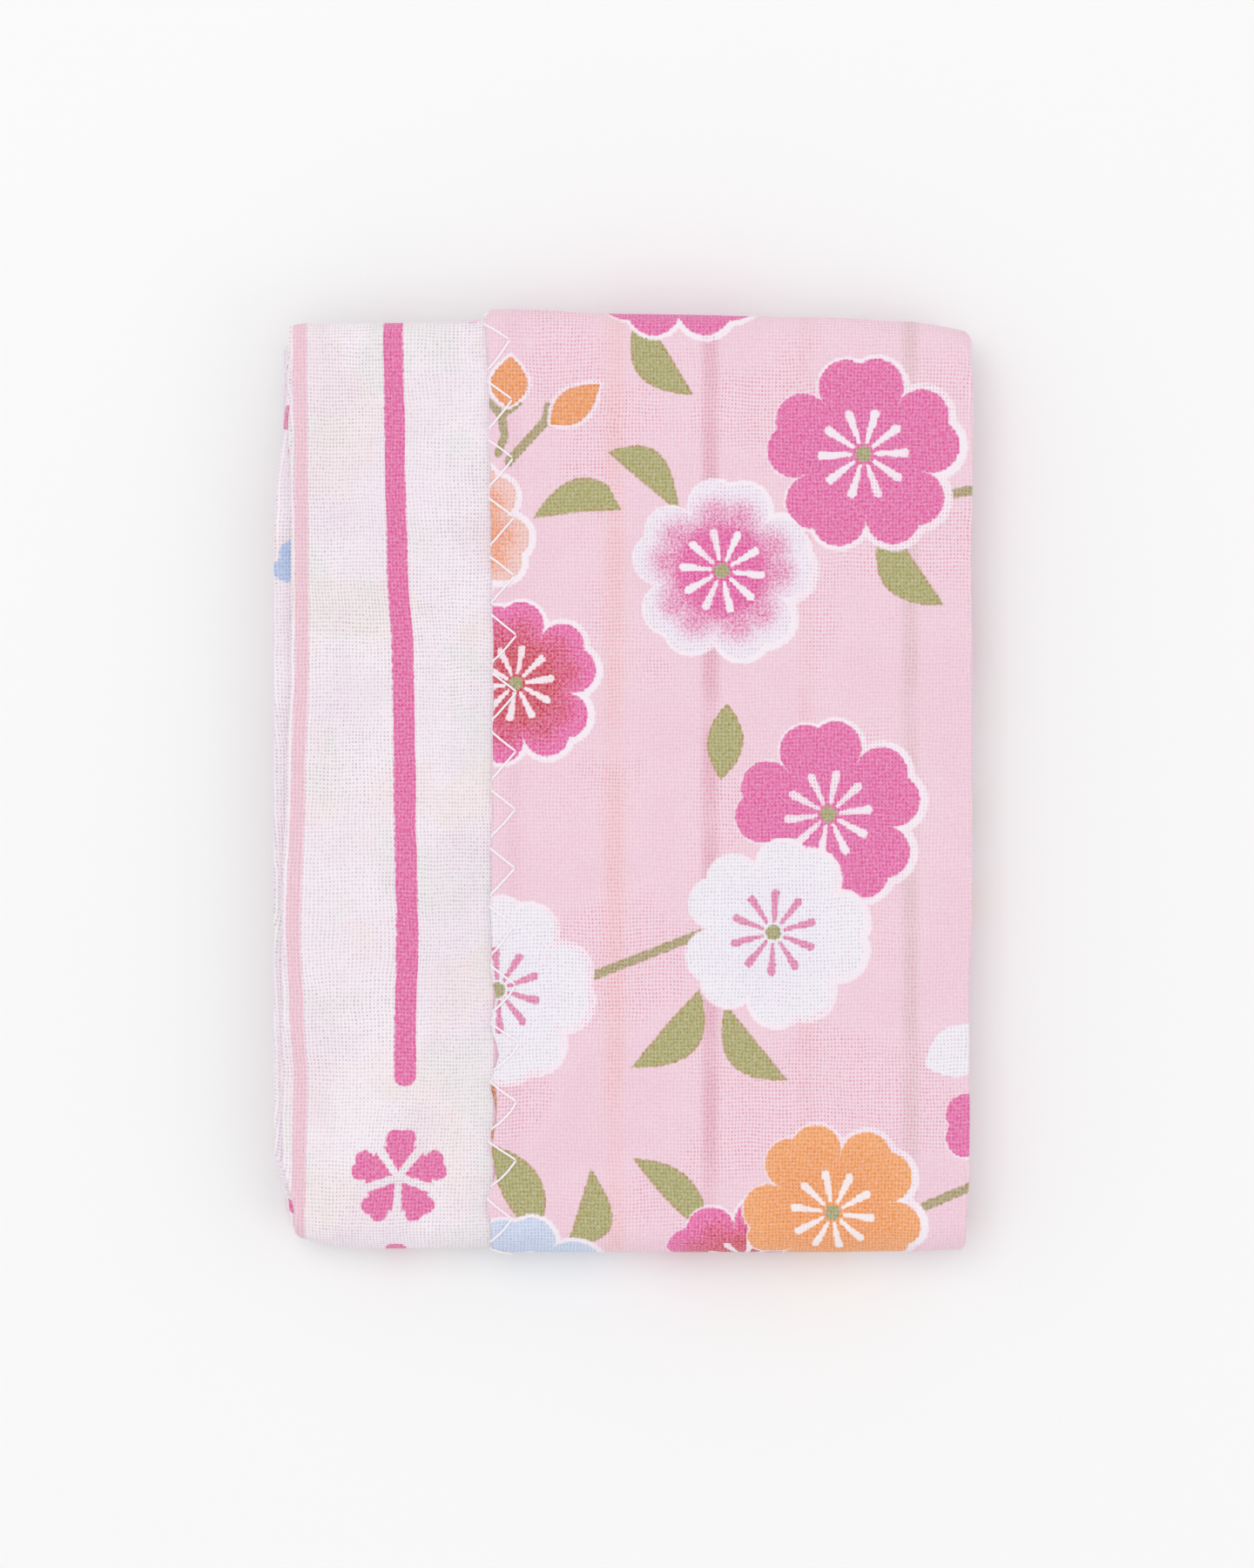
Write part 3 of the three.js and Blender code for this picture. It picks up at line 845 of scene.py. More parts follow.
def build_weave(wires, given):
    """Plain weave: the painted shade of its gaps, the height of its yarns, and print places that follow the
    yarns.
    """
    wander = wires.noise(given["Place"], 0.13, 2.0, "Color")
    wander = wires.vector("SUBTRACT", wander, (0.5, 0.5, 0.5))
    cells = wires.vector("DIVIDE", given["Place"], given["Pitch"])
    cells = wires.vector("MULTIPLY_ADD", wander, (WEAVE_WANDER, WEAVE_WANDER, 0), cells)
    cell = wires.vector("FLOOR", cells)
    number = wires.split(cell)
    luck = wires.node("ShaderNodeTexWhiteNoise", {"Vector": cell}, noise_dimensions="2D").outputs
    warp_luck = wires.node("ShaderNodeTexWhiteNoise", {"W": number[0]}, noise_dimensions="1D").outputs[0]
    weft_luck = wires.node("ShaderNodeTexWhiteNoise", {"W": number[1]}, noise_dimensions="1D").outputs[0]
    inside = wires.split(wires.vector("FRACTION", cells))
    off_x = wires.math("ABSOLUTE", wires.minus(inside[0], 0.5))
    off_y = wires.math("ABSOLUTE", wires.minus(inside[1], 0.5))
    wide_x = wires.math("MULTIPLY_ADD", warp_luck, 0.12, 0.34)
    wide_y = wires.math("MULTIPLY_ADD", weft_luck, 0.12, 0.34)
    gap = wires.times(wires.step(off_x, wide_x, 0.14), wires.step(off_y, wide_y, 0.14))
    # How much painted shade each gap between the yarns takes
    hole_shade = wires.times(gap, wires.math("MULTIPLY_ADD", luck[0], 0.5, 0.5))
    turn = wires.math("PINGPONG", wires.plus(number[0], number[1]), 1.0)
    rise_x = wires.times(wires.step(off_x, 0.1, 0.5), wires.math("MULTIPLY_ADD", turn, 0.5, 0.5))
    rise_y = wires.times(wires.step(off_y, 0.1, 0.5), wires.math("MULTIPLY_ADD", turn, -0.5, 1.0))
    yarns = wires.most(rise_x, rise_y)
    speckle = wires.step(wires.noise(given["Place"], 3.3, 2.0, roughness=0.7), 0.3, 0.7)
    fuzz = wires.vector("SUBTRACT", wires.noise(given["Place"], 2.2, 2.0, "Color"), (0.5, 0.5, 0.5))
    fuzzed = wires.vector("MULTIPLY_ADD", fuzz, (0.5, 0.5, 0), given["Place"])
    settled = wires.vector("ADD", cell, (0.5, 0.5, 0))
    settled = wires.vector("SUBTRACT", settled, wires.vector("SCALE", wander, WEAVE_WANDER))
    settled = wires.vector("MULTIPLY", settled, given["Pitch"])
    printed = wires.mix_vector(given["Raggedness"], fuzzed, settled)
    return {"Hole Shade": hole_shade, "Yarns": yarns, "Luck": speckle, "Print Place": printed}


def build_repeat(wires, given):
    """The print's own place in its repeat, which shifts sideways each time down the cloth."""
    place = wires.split(given["Place"])
    down = wires.minus(place[1], REPEAT_START[1])
    row = wires.math("FLOOR", wires.math("DIVIDE", down, REPEAT_SIZE[1]))
    v = wires.math("MULTIPLY_ADD", row, -REPEAT_SIZE[1], place[1])
    u = wires.math("MULTIPLY_ADD", row, REPEAT_SHIFT, place[0])
    u = wires.math("WRAP", u, REPEAT_START[0] + REPEAT_SIZE[0], REPEAT_START[0])
    return {"Place": wires.join(u, v)}


def build_pick(wires, given):
    """Keeps the motif that a point is nearest to, of this one and those before it."""
    apart = wires.vector("MULTIPLY", wires.vector("SUBTRACT", given["Place"], given["Stand"]), (1, 1, 0))
    away = wires.math("DIVIDE", wires.vector("LENGTH", apart), given["Reach"])
    nearer = wires.math("LESS_THAN", away, given["Best Away"])
    return {
        "Best Away": wires.least(away, given["Best Away"]),
        "Best Stand": wires.mix_vector(nearer, given["Best Stand"], given["Stand"]),
        "Best Size": wires.mix_vector(nearer, given["Best Size"], given["Size"]),
        "Best Kind": wires.mix_vector(nearer, given["Best Kind"], given["Kind"]),
    }


def build_blossom(wires, given):
    """A five-petalled blossom with notched petals, a paler outline, ten stamens and a heart."""
    stand = wires.split(given["Stand"])
    place = wires.split(wires.vector("SUBTRACT", given["Place"], given["Stand"]))
    kind = wires.split(given["Kind"])[0]
    radius = wires.split(given["Size"])[0]
    flat = wires.join(place[0], place[1])
    away = wires.math("DIVIDE", wires.vector("LENGTH", flat), radius)
    angle = wires.math("ARCTAN2", place[0], wires.times(place[1], -1.0))
    sector = wires.times(wires.minus(angle, stand[2]), 5 / math.tau)
    petal = wires.minus(wires.math("FRACT", wires.plus(sector, 0.5)), 0.5)
    turned = wires.times(wires.math("ABSOLUTE", petal), math.tau / 5)
    along = wires.times(away, wires.math("COSINE", turned))
    across = wires.times(away, wires.math("SINE", turned))
    lobe = wires.vector("DISTANCE", wires.join(along, across), (PETAL["lobe_out"], PETAL["lobe_aside"], 0))
    edge = wires.minus(lobe, PETAL["lobe_radius"])
    edge = wires.least(edge, wires.minus(away, PETAL["cleft"]))
    lean = wires.math("COSINE", wires.minus(angle, OUTLINE["lean_angle"]))
    lean = wires.math("MULTIPLY_ADD", lean, OUTLINE["lean"], OUTLINE["width"])
    outline = wires.step(wires.minus(edge, lean), 0.012, -0.012)
    petals = wires.step(edge, 0.01, -0.01)
    beat = wires.math("FRACT", wires.times(sector, 2.0))
    beat = wires.times(wires.minus(beat, 0.5), math.tau / 10)
    out = wires.times(away, wires.math("COSINE", beat))
    aside = wires.times(away, wires.math("SINE", beat))
    held = wires.least(wires.most(out, STAMEN["start"]), STAMEN["end"])
    club = wires.vector("DISTANCE", wires.join(out, aside), wires.join(held, 0.0))
    club = wires.minus(club, wires.math("MULTIPLY_ADD", held, STAMEN["flare"], STAMEN["stalk"]))
    stamens = wires.step(club, SOFTNESS, -SOFTNESS)
    heart = wires.step(away, HEART_RADIUS + SOFTNESS, HEART_RADIUS - SOFTNESS)
    speckle = wires.math("MULTIPLY_ADD", given["Luck"], 0.22, -0.11)
    inmost = wires.math("MULTIPLY_ADD", wires.plus(edge, 0.3), 0.8, away)
    fade = wires.step(wires.plus(inmost, speckle), 0.5, 1.1)
    rim = wires.chart(kind, [row["rim"] for row in BLOSSOM_KINDS])
    deep = wires.chart(kind, [row["deep"] for row in BLOSSOM_KINDS])
    tips = wires.chart(kind, [row["stamens"] for row in BLOSSOM_KINDS])
    colour = wires.mix(outline, given["Ground"], paint(PRINT_WHITE))
    colour = wires.mix(petals, colour, wires.mix(fade, deep, rim))
    colour = wires.mix(stamens, colour, tips)
    colour = wires.mix(heart, colour, paint(PRINT_OLIVE))
    shown = wires.most(outline, petals)
    inked = wires.times(petals, wires.minus(1.0, stamens))
    return {
        "Colour": colour,
        "Ink": wires.mix_number(shown, given["Ink"], inked),
    }


def build_leaf(wires, given):
    """A leaf, bud or sliver between two bows that meet at its tips."""
    stand = wires.split(given["Stand"])
    size = wires.split(given["Size"])
    kind = wires.split(given["Kind"])
    place = wires.split(wires.vector("SUBTRACT", given["Place"], given["Stand"]))
    cosine, sine = wires.math("COSINE", stand[2]), wires.math("SINE", stand[2])
    along = wires.times(place[0], cosine)
    along = wires.math("DIVIDE", wires.math("MULTIPLY_ADD", place[1], sine, along), size[0])
    across = wires.times(place[1], cosine)
    across = wires.minus(across, wires.times(place[0], sine))
    bow = wires.minus(1.0, wires.times(along, along))
    bow = wires.times(bow, wires.math("MULTIPLY_ADD", along, kind[1], 1.0))
    over = wires.minus(across, wires.times(size[1], bow))
    under = wires.minus(wires.times(size[2], bow), across)
    edge = wires.least(over, under)
    rim = wires.chart(kind[0], [row["rim"] for row in LEAF_KINDS])
    inner = wires.chart(kind[0], [row["inner"] for row in LEAF_KINDS])
    shown = wires.step(wires.plus(edge, kind[2]), -0.12, 0.12)
    filled = wires.step(edge, -0.12, 0.12)
    body = wires.mix(wires.step(edge, 0.1, 0.45), rim, inner)
    colour = wires.mix(shown, given["Ground"], paint(PRINT_WHITE))
    colour = wires.mix(filled, colour, body)
    return {"Colour": colour, "Ink": wires.mix_number(shown, given["Ink"], filled)}


def build_stem(wires, given):
    """How far a point is from the nearest stem's edge, of this one and those before it."""
    span = wires.vector("SUBTRACT", given["End"], given["Start"])
    from_start = wires.vector("SUBTRACT", given["Place"], given["Start"])
    along = wires.vector("DOT_PRODUCT", from_start, span)
    share = wires.math("DIVIDE", along, wires.vector("DOT_PRODUCT", span, span), clamp=True)
    nearest = wires.vector("MULTIPLY_ADD", span, wires.join(share, share, share), given["Start"])
    gap = wires.minus(wires.vector("DISTANCE", given["Place"], nearest), given["Half Width"])
    return {"Gap": wires.least(gap, given["Gap"])}


def build_shadow_stripe(wires, given):
    """A stripe of show-through and painted shade along the cloth, soft at its edges and patchy along its
    length.
    """
    place = wires.split(given["Place"])
    off = wires.math("ABSOLUTE", wires.minus(place[0], given["Middle"]))
    off = wires.math("DIVIDE", off, given["Half Width"])
    patches = wires.noise(given["Place"], 0.09, 1.0)
    patches = wires.step(patches, 0.25, 0.6, 0.35, 1.0)
    mask = wires.times(wires.step(off, 1.35, 0.2), patches)
    mask = wires.times(mask, given["Strength"])
    return {
        "Colour": wires.mix(mask, given["Ground"], given["Tint"]),
        "Openness": wires.most(mask, given["Openness"]),
    }


def build_sprig(wires, given):
    """Five notched petals that stand apart round a bare middle."""
    place = wires.split(wires.vector("MULTIPLY", given["Place"], (1, 1, 0)))
    away = wires.vector("LENGTH", wires.join(place[0], place[1]))
    away = wires.math("DIVIDE", away, given["Radius"])
    angle = wires.math("ARCTAN2", place[0], wires.times(place[1], -1.0))
    sector = wires.math("MULTIPLY_ADD", angle, 5 / math.tau, 0.5)
    turned = wires.math("ABSOLUTE", wires.minus(wires.math("FRACT", sector), 0.5))
    turned = wires.times(turned, math.tau / 5)
    along = wires.times(away, wires.math("COSINE", turned))
    across = wires.times(away, wires.math("SINE", turned))
    lobe = wires.vector("DISTANCE", wires.join(along, across), (SPRIG["lobe_out"], SPRIG["lobe_aside"], 0))
    lobe = wires.minus(lobe, SPRIG["lobe_radius"])
    body = wires.vector("DISTANCE", wires.join(along, across), (SPRIG["body_out"], 0, 0))
    lobe = wires.least(lobe, wires.minus(body, SPRIG["body_radius"]))
    start = wires.minus(along, SPRIG["start"])
    taper = wires.math("MULTIPLY_ADD", start, -SPRIG["widening"], across)
    taper = wires.most(taper, wires.minus(along, SPRIG["body_out"]))
    edge = wires.least(lobe, taper)
    return {"Petals": wires.step(edge, 0.02, -0.02)}


def make_groups():
    """The node groups by name."""
    motif = {"Place": "vector", "Stand": "vector", "Size": "vector", "Kind": "vector"}
    under = {"Ground": "colour", "Ink": "number"}
    best = {"Best Away": "number", "Best Stand": "vector", "Best Size": "vector", "Best Kind": "vector"}
    printed = {"Colour": "colour", "Ink": "number"}
    plans = {
        "weave": (
            {"Place": "vector", "Pitch": "vector", "Raggedness": "number"},
            {"Hole Shade": "number", "Yarns": "number", "Luck": "number", "Print Place": "vector"},
            build_weave,
        ),
        "repeat": ({"Place": "vector"}, {"Place": "vector"}, build_repeat),
        "pick": ({**motif, "Reach": "number", **best}, best, build_pick),
        "blossom": ({**motif, **under, "Luck": "number"}, printed, build_blossom),
        "leaf": ({**motif, **under}, printed, build_leaf),
        "stem": (
            {"Place": "vector", "Start": "vector", "End": "vector",
             "Half Width": "number", "Gap": "number"},
            {"Gap": "number"},
            build_stem,
        ),
        "shadow stripe": (
            {"Place": "vector", "Ground": "colour", "Openness": "number", "Middle": "number",
             "Half Width": "number", "Tint": "colour", "Strength": "number"},
            {"Colour": "colour", "Openness": "number"},
            build_shadow_stripe,
        ),
        "sprig": ({"Place": "vector", "Radius": "number"}, {"Petals": "number"}, build_sprig),
    }
    return {name: node_group(f"Gauze {name}", *plan) for name, plan in plans.items()}


def kind_number(kinds, name):
    """A kind's place in its table."""
    return [row["name"] for row in kinds].index(name)


def pick_motif(wires, groups, place, rows):
    """The nearest of several motifs. Each row is its stand (u, w, turn), size, kind and reach."""
    nowhere = (-999, -999, 0)
    best = {"Best Away": 1.0, "Best Stand": nowhere, "Best Size": (1, 0, 0), "Best Kind": (0, 0, 0)}
    for stand, size, kind, reach in rows:
        given = {"Place": place, "Stand": stand, "Size": size, "Kind": kind, "Reach": reach}
        out = wires.place(groups["pick"], {**given, **best})
        best = {name: out[name] for name in best}
    return {"Place": place, **{name: best[f"Best {name}"] for name in ("Stand", "Size", "Kind")}}


def blossom_rows(layer):
    """The blossoms of one layer, as pick_motif takes them."""
    for row in BLOSSOMS:
        if row["layer"] == layer:
            stand = (row["u"], row["w"], math.radians(row["turn"]))
            kind = kind_number(BLOSSOM_KINDS, row["kind"])
            yield stand, (row["radius"], 0, 0), (kind, 0, 0), row["radius"] * BLOSSOM_REACH


def leaf_rows():
    """The leaves, as pick_motif takes them."""
    for row in LEAVES:
        stand = (row["u"], row["w"], math.radians(row["turn"]))
        kind = kind_number(LEAF_KINDS, row["kind"])
        size = (row["half"], row["low"], row["high"])
        reach = row["half"] + row["outline"] + LEAF_REACH
        yield stand, size, (kind, row["skew"], row["outline"]), reach


def flat_cloth(wires, groups):
    """The place on the flat cloth in millimetres, and what the weave does there."""
    place = wires.node("ShaderNodeUVMap", uv_map=CLOTH_MAP).outputs[0]
    place = wires.vector("SCALE", place, CLOTH_SIDE)
    weave = wires.place(groups["weave"], {"Place": place, "Pitch": WEAVE_PITCH, "Raggedness": RAGGEDNESS})
    return place, weave


def gauze_surface(wires, colour, weave, place, sizes):
    """The finish that both faces share: rough, downy cotton with its yarns in relief."""
    down = wires.noise(place, 3.2, 3.0, roughness=0.7)
    height = wires.math("MULTIPLY_ADD", down, 0.5, weave["Yarns"])
    bump = wires.node("ShaderNodeBump", {"Strength": sizes.relief, "Distance": 0.00012, "Height": height})
    finish = wires.node("ShaderNodeBsdfPrincipled", {
        "Base Color": colour,
        "Roughness": 0.9,
        "Specular IOR Level": 0.25,
        "Sheen Weight": 0.15,
        "Sheen Roughness": 0.6,
        "Normal": bump.outputs[0],
    })
    wires.node("ShaderNodeOutputMaterial", {"Surface": finish.outputs[0]})


def new_material(name):
    """An empty material and the wires of its tree."""
    material = bpy.data.materials.new(name)
    material.use_nodes = True
    material.node_tree.nodes.clear()
    return material, Wires(material.node_tree)


def blossom_print(sizes, colours, groups):
    """The face with blossoms on pink."""
    material, wires = new_material("Blossom print on gauze")
    place, weave = flat_cloth(wires, groups)
    clouds = wires.step(wires.noise(place, 0.06, 3.0), 0.35, 0.65)
    ground = wires.mix(clouds, tuple(colours.pink), tuple(colours.pale_pink))
    openness = wires.step(wires.noise(place, 0.06, 2.0), 0.45, 0.64, 0.15, 0.85)
    # Stripes of the striped face seen through the flap, darkened with painted shade
    for row in SHOW_THROUGH_AND_SHADE:
        out = wires.place(groups["shadow stripe"], {
            "Place": place, "Ground": ground, "Openness": openness, "Middle": row["u"],
            "Half Width": row["half"], "Tint": paint(row["tint"]), "Strength": row["strength"],
        })
        ground, openness = out["Colour"], out["Openness"]
    printed = wires.place(groups["repeat"], {"Place": weave["Print Place"]})["Place"]
    gap = 9.0
    for row in STEMS:
        given = {"Place": printed, "Start": (*row["start"], 0), "End": (*row["end"], 0)}
        gap = wires.place(groups["stem"], {**given, "Half Width": row["half"], "Gap": gap})["Gap"]
    stems = wires.step(gap, 0.1, -0.1)
    colour, ink = wires.mix(stems, ground, paint(STEM_OLIVE)), stems
    layers = [("leaf", leaf_rows()), ("blossom", blossom_rows("under")), ("blossom", blossom_rows("over"))]
    for group, rows in layers:
        chosen = pick_motif(wires, groups, printed, rows)
        extra = {"Luck": weave["Luck"]} if group == "blossom" else {}
        out = wires.place(groups[group], {**chosen, **extra, "Ground": colour, "Ink": ink})
        colour, ink = out["Colour"], out["Ink"]
    colour = weave_shade_highlight_and_wear(wires, place, weave, colour, ink, openness, tuple(colours.pink_hole_shade))
    gauze_surface(wires, colour, weave, place, sizes)
    return material


def weave_shade_highlight_and_wear(wires, place, weave, colour, ink, openness, hole):
    """Painted shade between the yarns, a painted highlight on their crests, and their uneven hold on the
    print.
    """
    # Painted shade in the open gaps between the yarns, where the ground is bare
    hole_shade = wires.times(weave["Hole Shade"], openness)
    bare = wires.minus(1.0, ink)
    # Painted highlight: the bare ground is lighter where the yarns rise
    crest_highlight = wires.times(wires.times(weave["Yarns"], bare), 0.4)
    colour = wires.mix(crest_highlight, colour, paint(YARN_CREST_HIGHLIGHT))
    colour = wires.mix(wires.times(hole_shade, bare), colour, hole)
    grain = wires.noise(place, 2.6, 2.0, roughness=0.65)
    grain = wires.step(grain, 0.3, 0.7)
    # The print is lighter on the crests of some yarns: partly rubbed off, partly a painted highlight
    worn_and_highlit = wires.times(wires.times(weave["Yarns"], weave["Luck"]), ink)
    colour = wires.mix(wires.times(worn_and_highlit, 0.3), colour, paint(WORN_AND_HIGHLIT_PRINT))
    # Painted shade: the print is darker in the gaps between the yarns
    inked_hole_shade = wires.times(weave["Hole Shade"], ink)
    colour = wires.mix(inked_hole_shade, colour, wires.mix(1.0, colour, paint(PRINT_HOLE_SHADE), "MULTIPLY"))
    return wires.mix(wires.times(grain, 0.16), colour, paint(COTTON_GRAIN))


def stripe_print(sizes, colours, groups):
    """The face with stripes and small blossoms on white."""
    material, wires = new_material("Stripe print on gauze")
    place, weave = flat_cloth(wires, groups)
    clouds = wires.step(wires.noise(place, 0.05, 2.0), 0.4, 0.65)
    ground = wires.mix(clouds, tuple(colours.white), tuple(colours.lavender))
    for row in GHOSTS:
        patch = wires.noise(wires.vector("ADD", place, row["shift"]), 0.09, 2.0)
        cloud = wires.step(patch, 0.52, 0.66, 0.0, row["strength"])
        ground = wires.mix(cloud, ground, paint(row["colour"]))
    printed = wires.split(weave["Print Place"])
    offset = wires.math("DIVIDE", wires.minus(printed[0], STRIPE_U), STRIPE_PITCH)
    number = wires.math("ROUND", offset)
    off = wires.times(wires.minus(offset, number), STRIPE_PITCH)
    turn = wires.math("PINGPONG", number, 1.0)
    down = wires.minus(printed[1], STRIPE_END_W - STRIPES[0]["half"])
    down = wires.math("FLOORED_MODULO", down, STRIPE_PERIOD)
    past = wires.least(down, wires.minus(STRIPE_GAP + 2 * STRIPES[0]["half"], down))
    past = wires.most(past, 0.0)
    away = wires.vector("LENGTH", wires.join(off, past))
    strong = wires.step(wires.minus(away, STRIPES[0]["half"]), 0.08, -0.08)
    strong = wires.times(strong, wires.minus(1.0, turn))
    pale = wires.step(wires.math("ABSOLUTE", off), STRIPES[1]["half"] + 0.15, STRIPES[1]["half"] - 0.15)
    pale = wires.times(pale, turn)
    colour = wires.mix(pale, ground, paint(STRIPES[1]["colour"]))
    colour = wires.mix(strong, colour, paint(STRIPES[0]["colour"]))
    spring = wires.minus(down, SPRIG_W - STRIPE_END_W + STRIPES[0]["half"])
    given = {"Place": wires.join(off, spring), "Radius": SPRIG_RADIUS}
    sprig = wires.place(groups["sprig"], given)["Petals"]
    sprig = wires.times(sprig, wires.minus(1.0, turn))
    colour = wires.mix(sprig, colour, paint(STRIPES[0]["colour"]))
    ink = wires.most(strong, sprig)
    for row in SIDE_SPRIGS:
        spot = wires.vector("SUBTRACT", weave["Print Place"], (row["u"], row["w"], 0))
        petals = wires.place(groups["sprig"], {"Place": spot, "Radius": row["radius"]})["Petals"]
        colour = wires.mix(petals, colour, paint(row["colour"]))
        ink = wires.most(ink, petals)
    ink = wires.most(ink, wires.times(pale, 0.4))
    openness = wires.step(wires.noise(place, 0.07, 2.0), 0.3, 0.7, 0.7, 1.0)
    colour = weave_shade_highlight_and_wear(wires, place, weave, colour, ink, openness, tuple(colours.grey_hole_shade))
    gauze_surface(wires, colour, weave, place, sizes)
    return material


def hem_rail(section, rows):
    """The flap's hem: points on its edge, each stitch's reach inwards, the way up and the stitch count."""
    front, _, flat = skins(section, rows, section.sheet / 2)
    start_x = front[:, 0, 0]
    inner = np.empty((rows.count, 3))
    for row in range(rows.count):
        reach = start_x[row] + STITCH_WIDTH
        beside = front[row, :HEM_COLUMNS]
        inner[row] = [np.interp(reach, beside[:, 0], beside[:, axis]) for axis in range(3)]
    x, rise = section.x[:, :1], section.rise[:, :1] + section.sheet / 2
    low = np.stack([x, *rows.place(x, rise)[:2]], axis=-1)[:, 0]
    high = np.stack([x, *rows.place(x, rise + 1)[:2]], axis=-1)[:, 0]
    up = high - low
    up /= np.linalg.norm(up, axis=1)[:, None]
    return low, inner - low, up, (flat[:, 0, 1] - STITCH_START_W) / STITCH_PITCH


def end_rail(section, rows, row, side):
    """One face of the cloth's far or near end, as hem_rail gives it."""
    half = side * section.sheet / 2
    x = section.x + half * section.normal_x
    rise = section.rise + half * section.normal_rise
    y, z, _ = rows.place(x, rise)
    points = np.stack([x[row], y[row], z[row]], axis=-1)
    inward = 1 if row == 0 else -1
    reach = np.zeros_like(points)
    reach[:, 1] = inward * STITCH_WIDTH
    up = np.stack([section.normal_x[row], 0 * x[row], -section.normal_rise[row]], axis=-1) * side
    return points, reach, up, section.u[row] / STITCH_PITCH


def rail_mesh(name, rails):
    """A mesh of edges only, one line for each rail, with the rails' facts as point attributes."""
    points = np.concatenate([rail[0] for rail in rails]) * MM
    starts = np.cumsum([0] + [len(rail[0]) for rail in rails])
    edges = [(number, number + 1) for a, b in zip(starts, starts[1:]) for number in range(a, b - 1)]
    mesh = bpy.data.meshes.new(name)
    mesh.from_pydata(points.tolist(), edges, [])
    facts = {
        "reach": np.concatenate([rail[1] for rail in rails]) * MM,
        "up": np.concatenate([rail[2] for rail in rails]),
    }
    for label, values in facts.items():
        mesh.attributes.new(label, "FLOAT_VECTOR", "POINT").data.foreach_set("vector", values.ravel())
    count = np.concatenate([rail[3] for rail in rails])
    mesh.attributes.new("stitches", "FLOAT", "POINT").data.foreach_set("value", count)
    return mesh


# What the stitches take, with lengths in metres. The thread goes over the edge at a share of each stitch.
STITCH_INPUTS = {
    "Thread Thickness": ("NodeSocketFloat", 0.00028),
    "Spacing": ("NodeSocketFloat", 0.0002),
    "Edge Reached": ("NodeSocketFloat", 0.46),
    "Edge Left": ("NodeSocketFloat", 0.68),
    "Sheet Thickness": ("NodeSocketFloat", 0.00042),
    "Overhang": ("NodeSocketFloat", 0.0001),
    "Unevenness": ("NodeSocketFloat", 0.00018),
    "Material": ("NodeSocketMaterial", None),
}
# Between these shares of a stitch the thread lies fully under the edge
UNDER_FROM = 0.5
UNDER_TO = 0.64


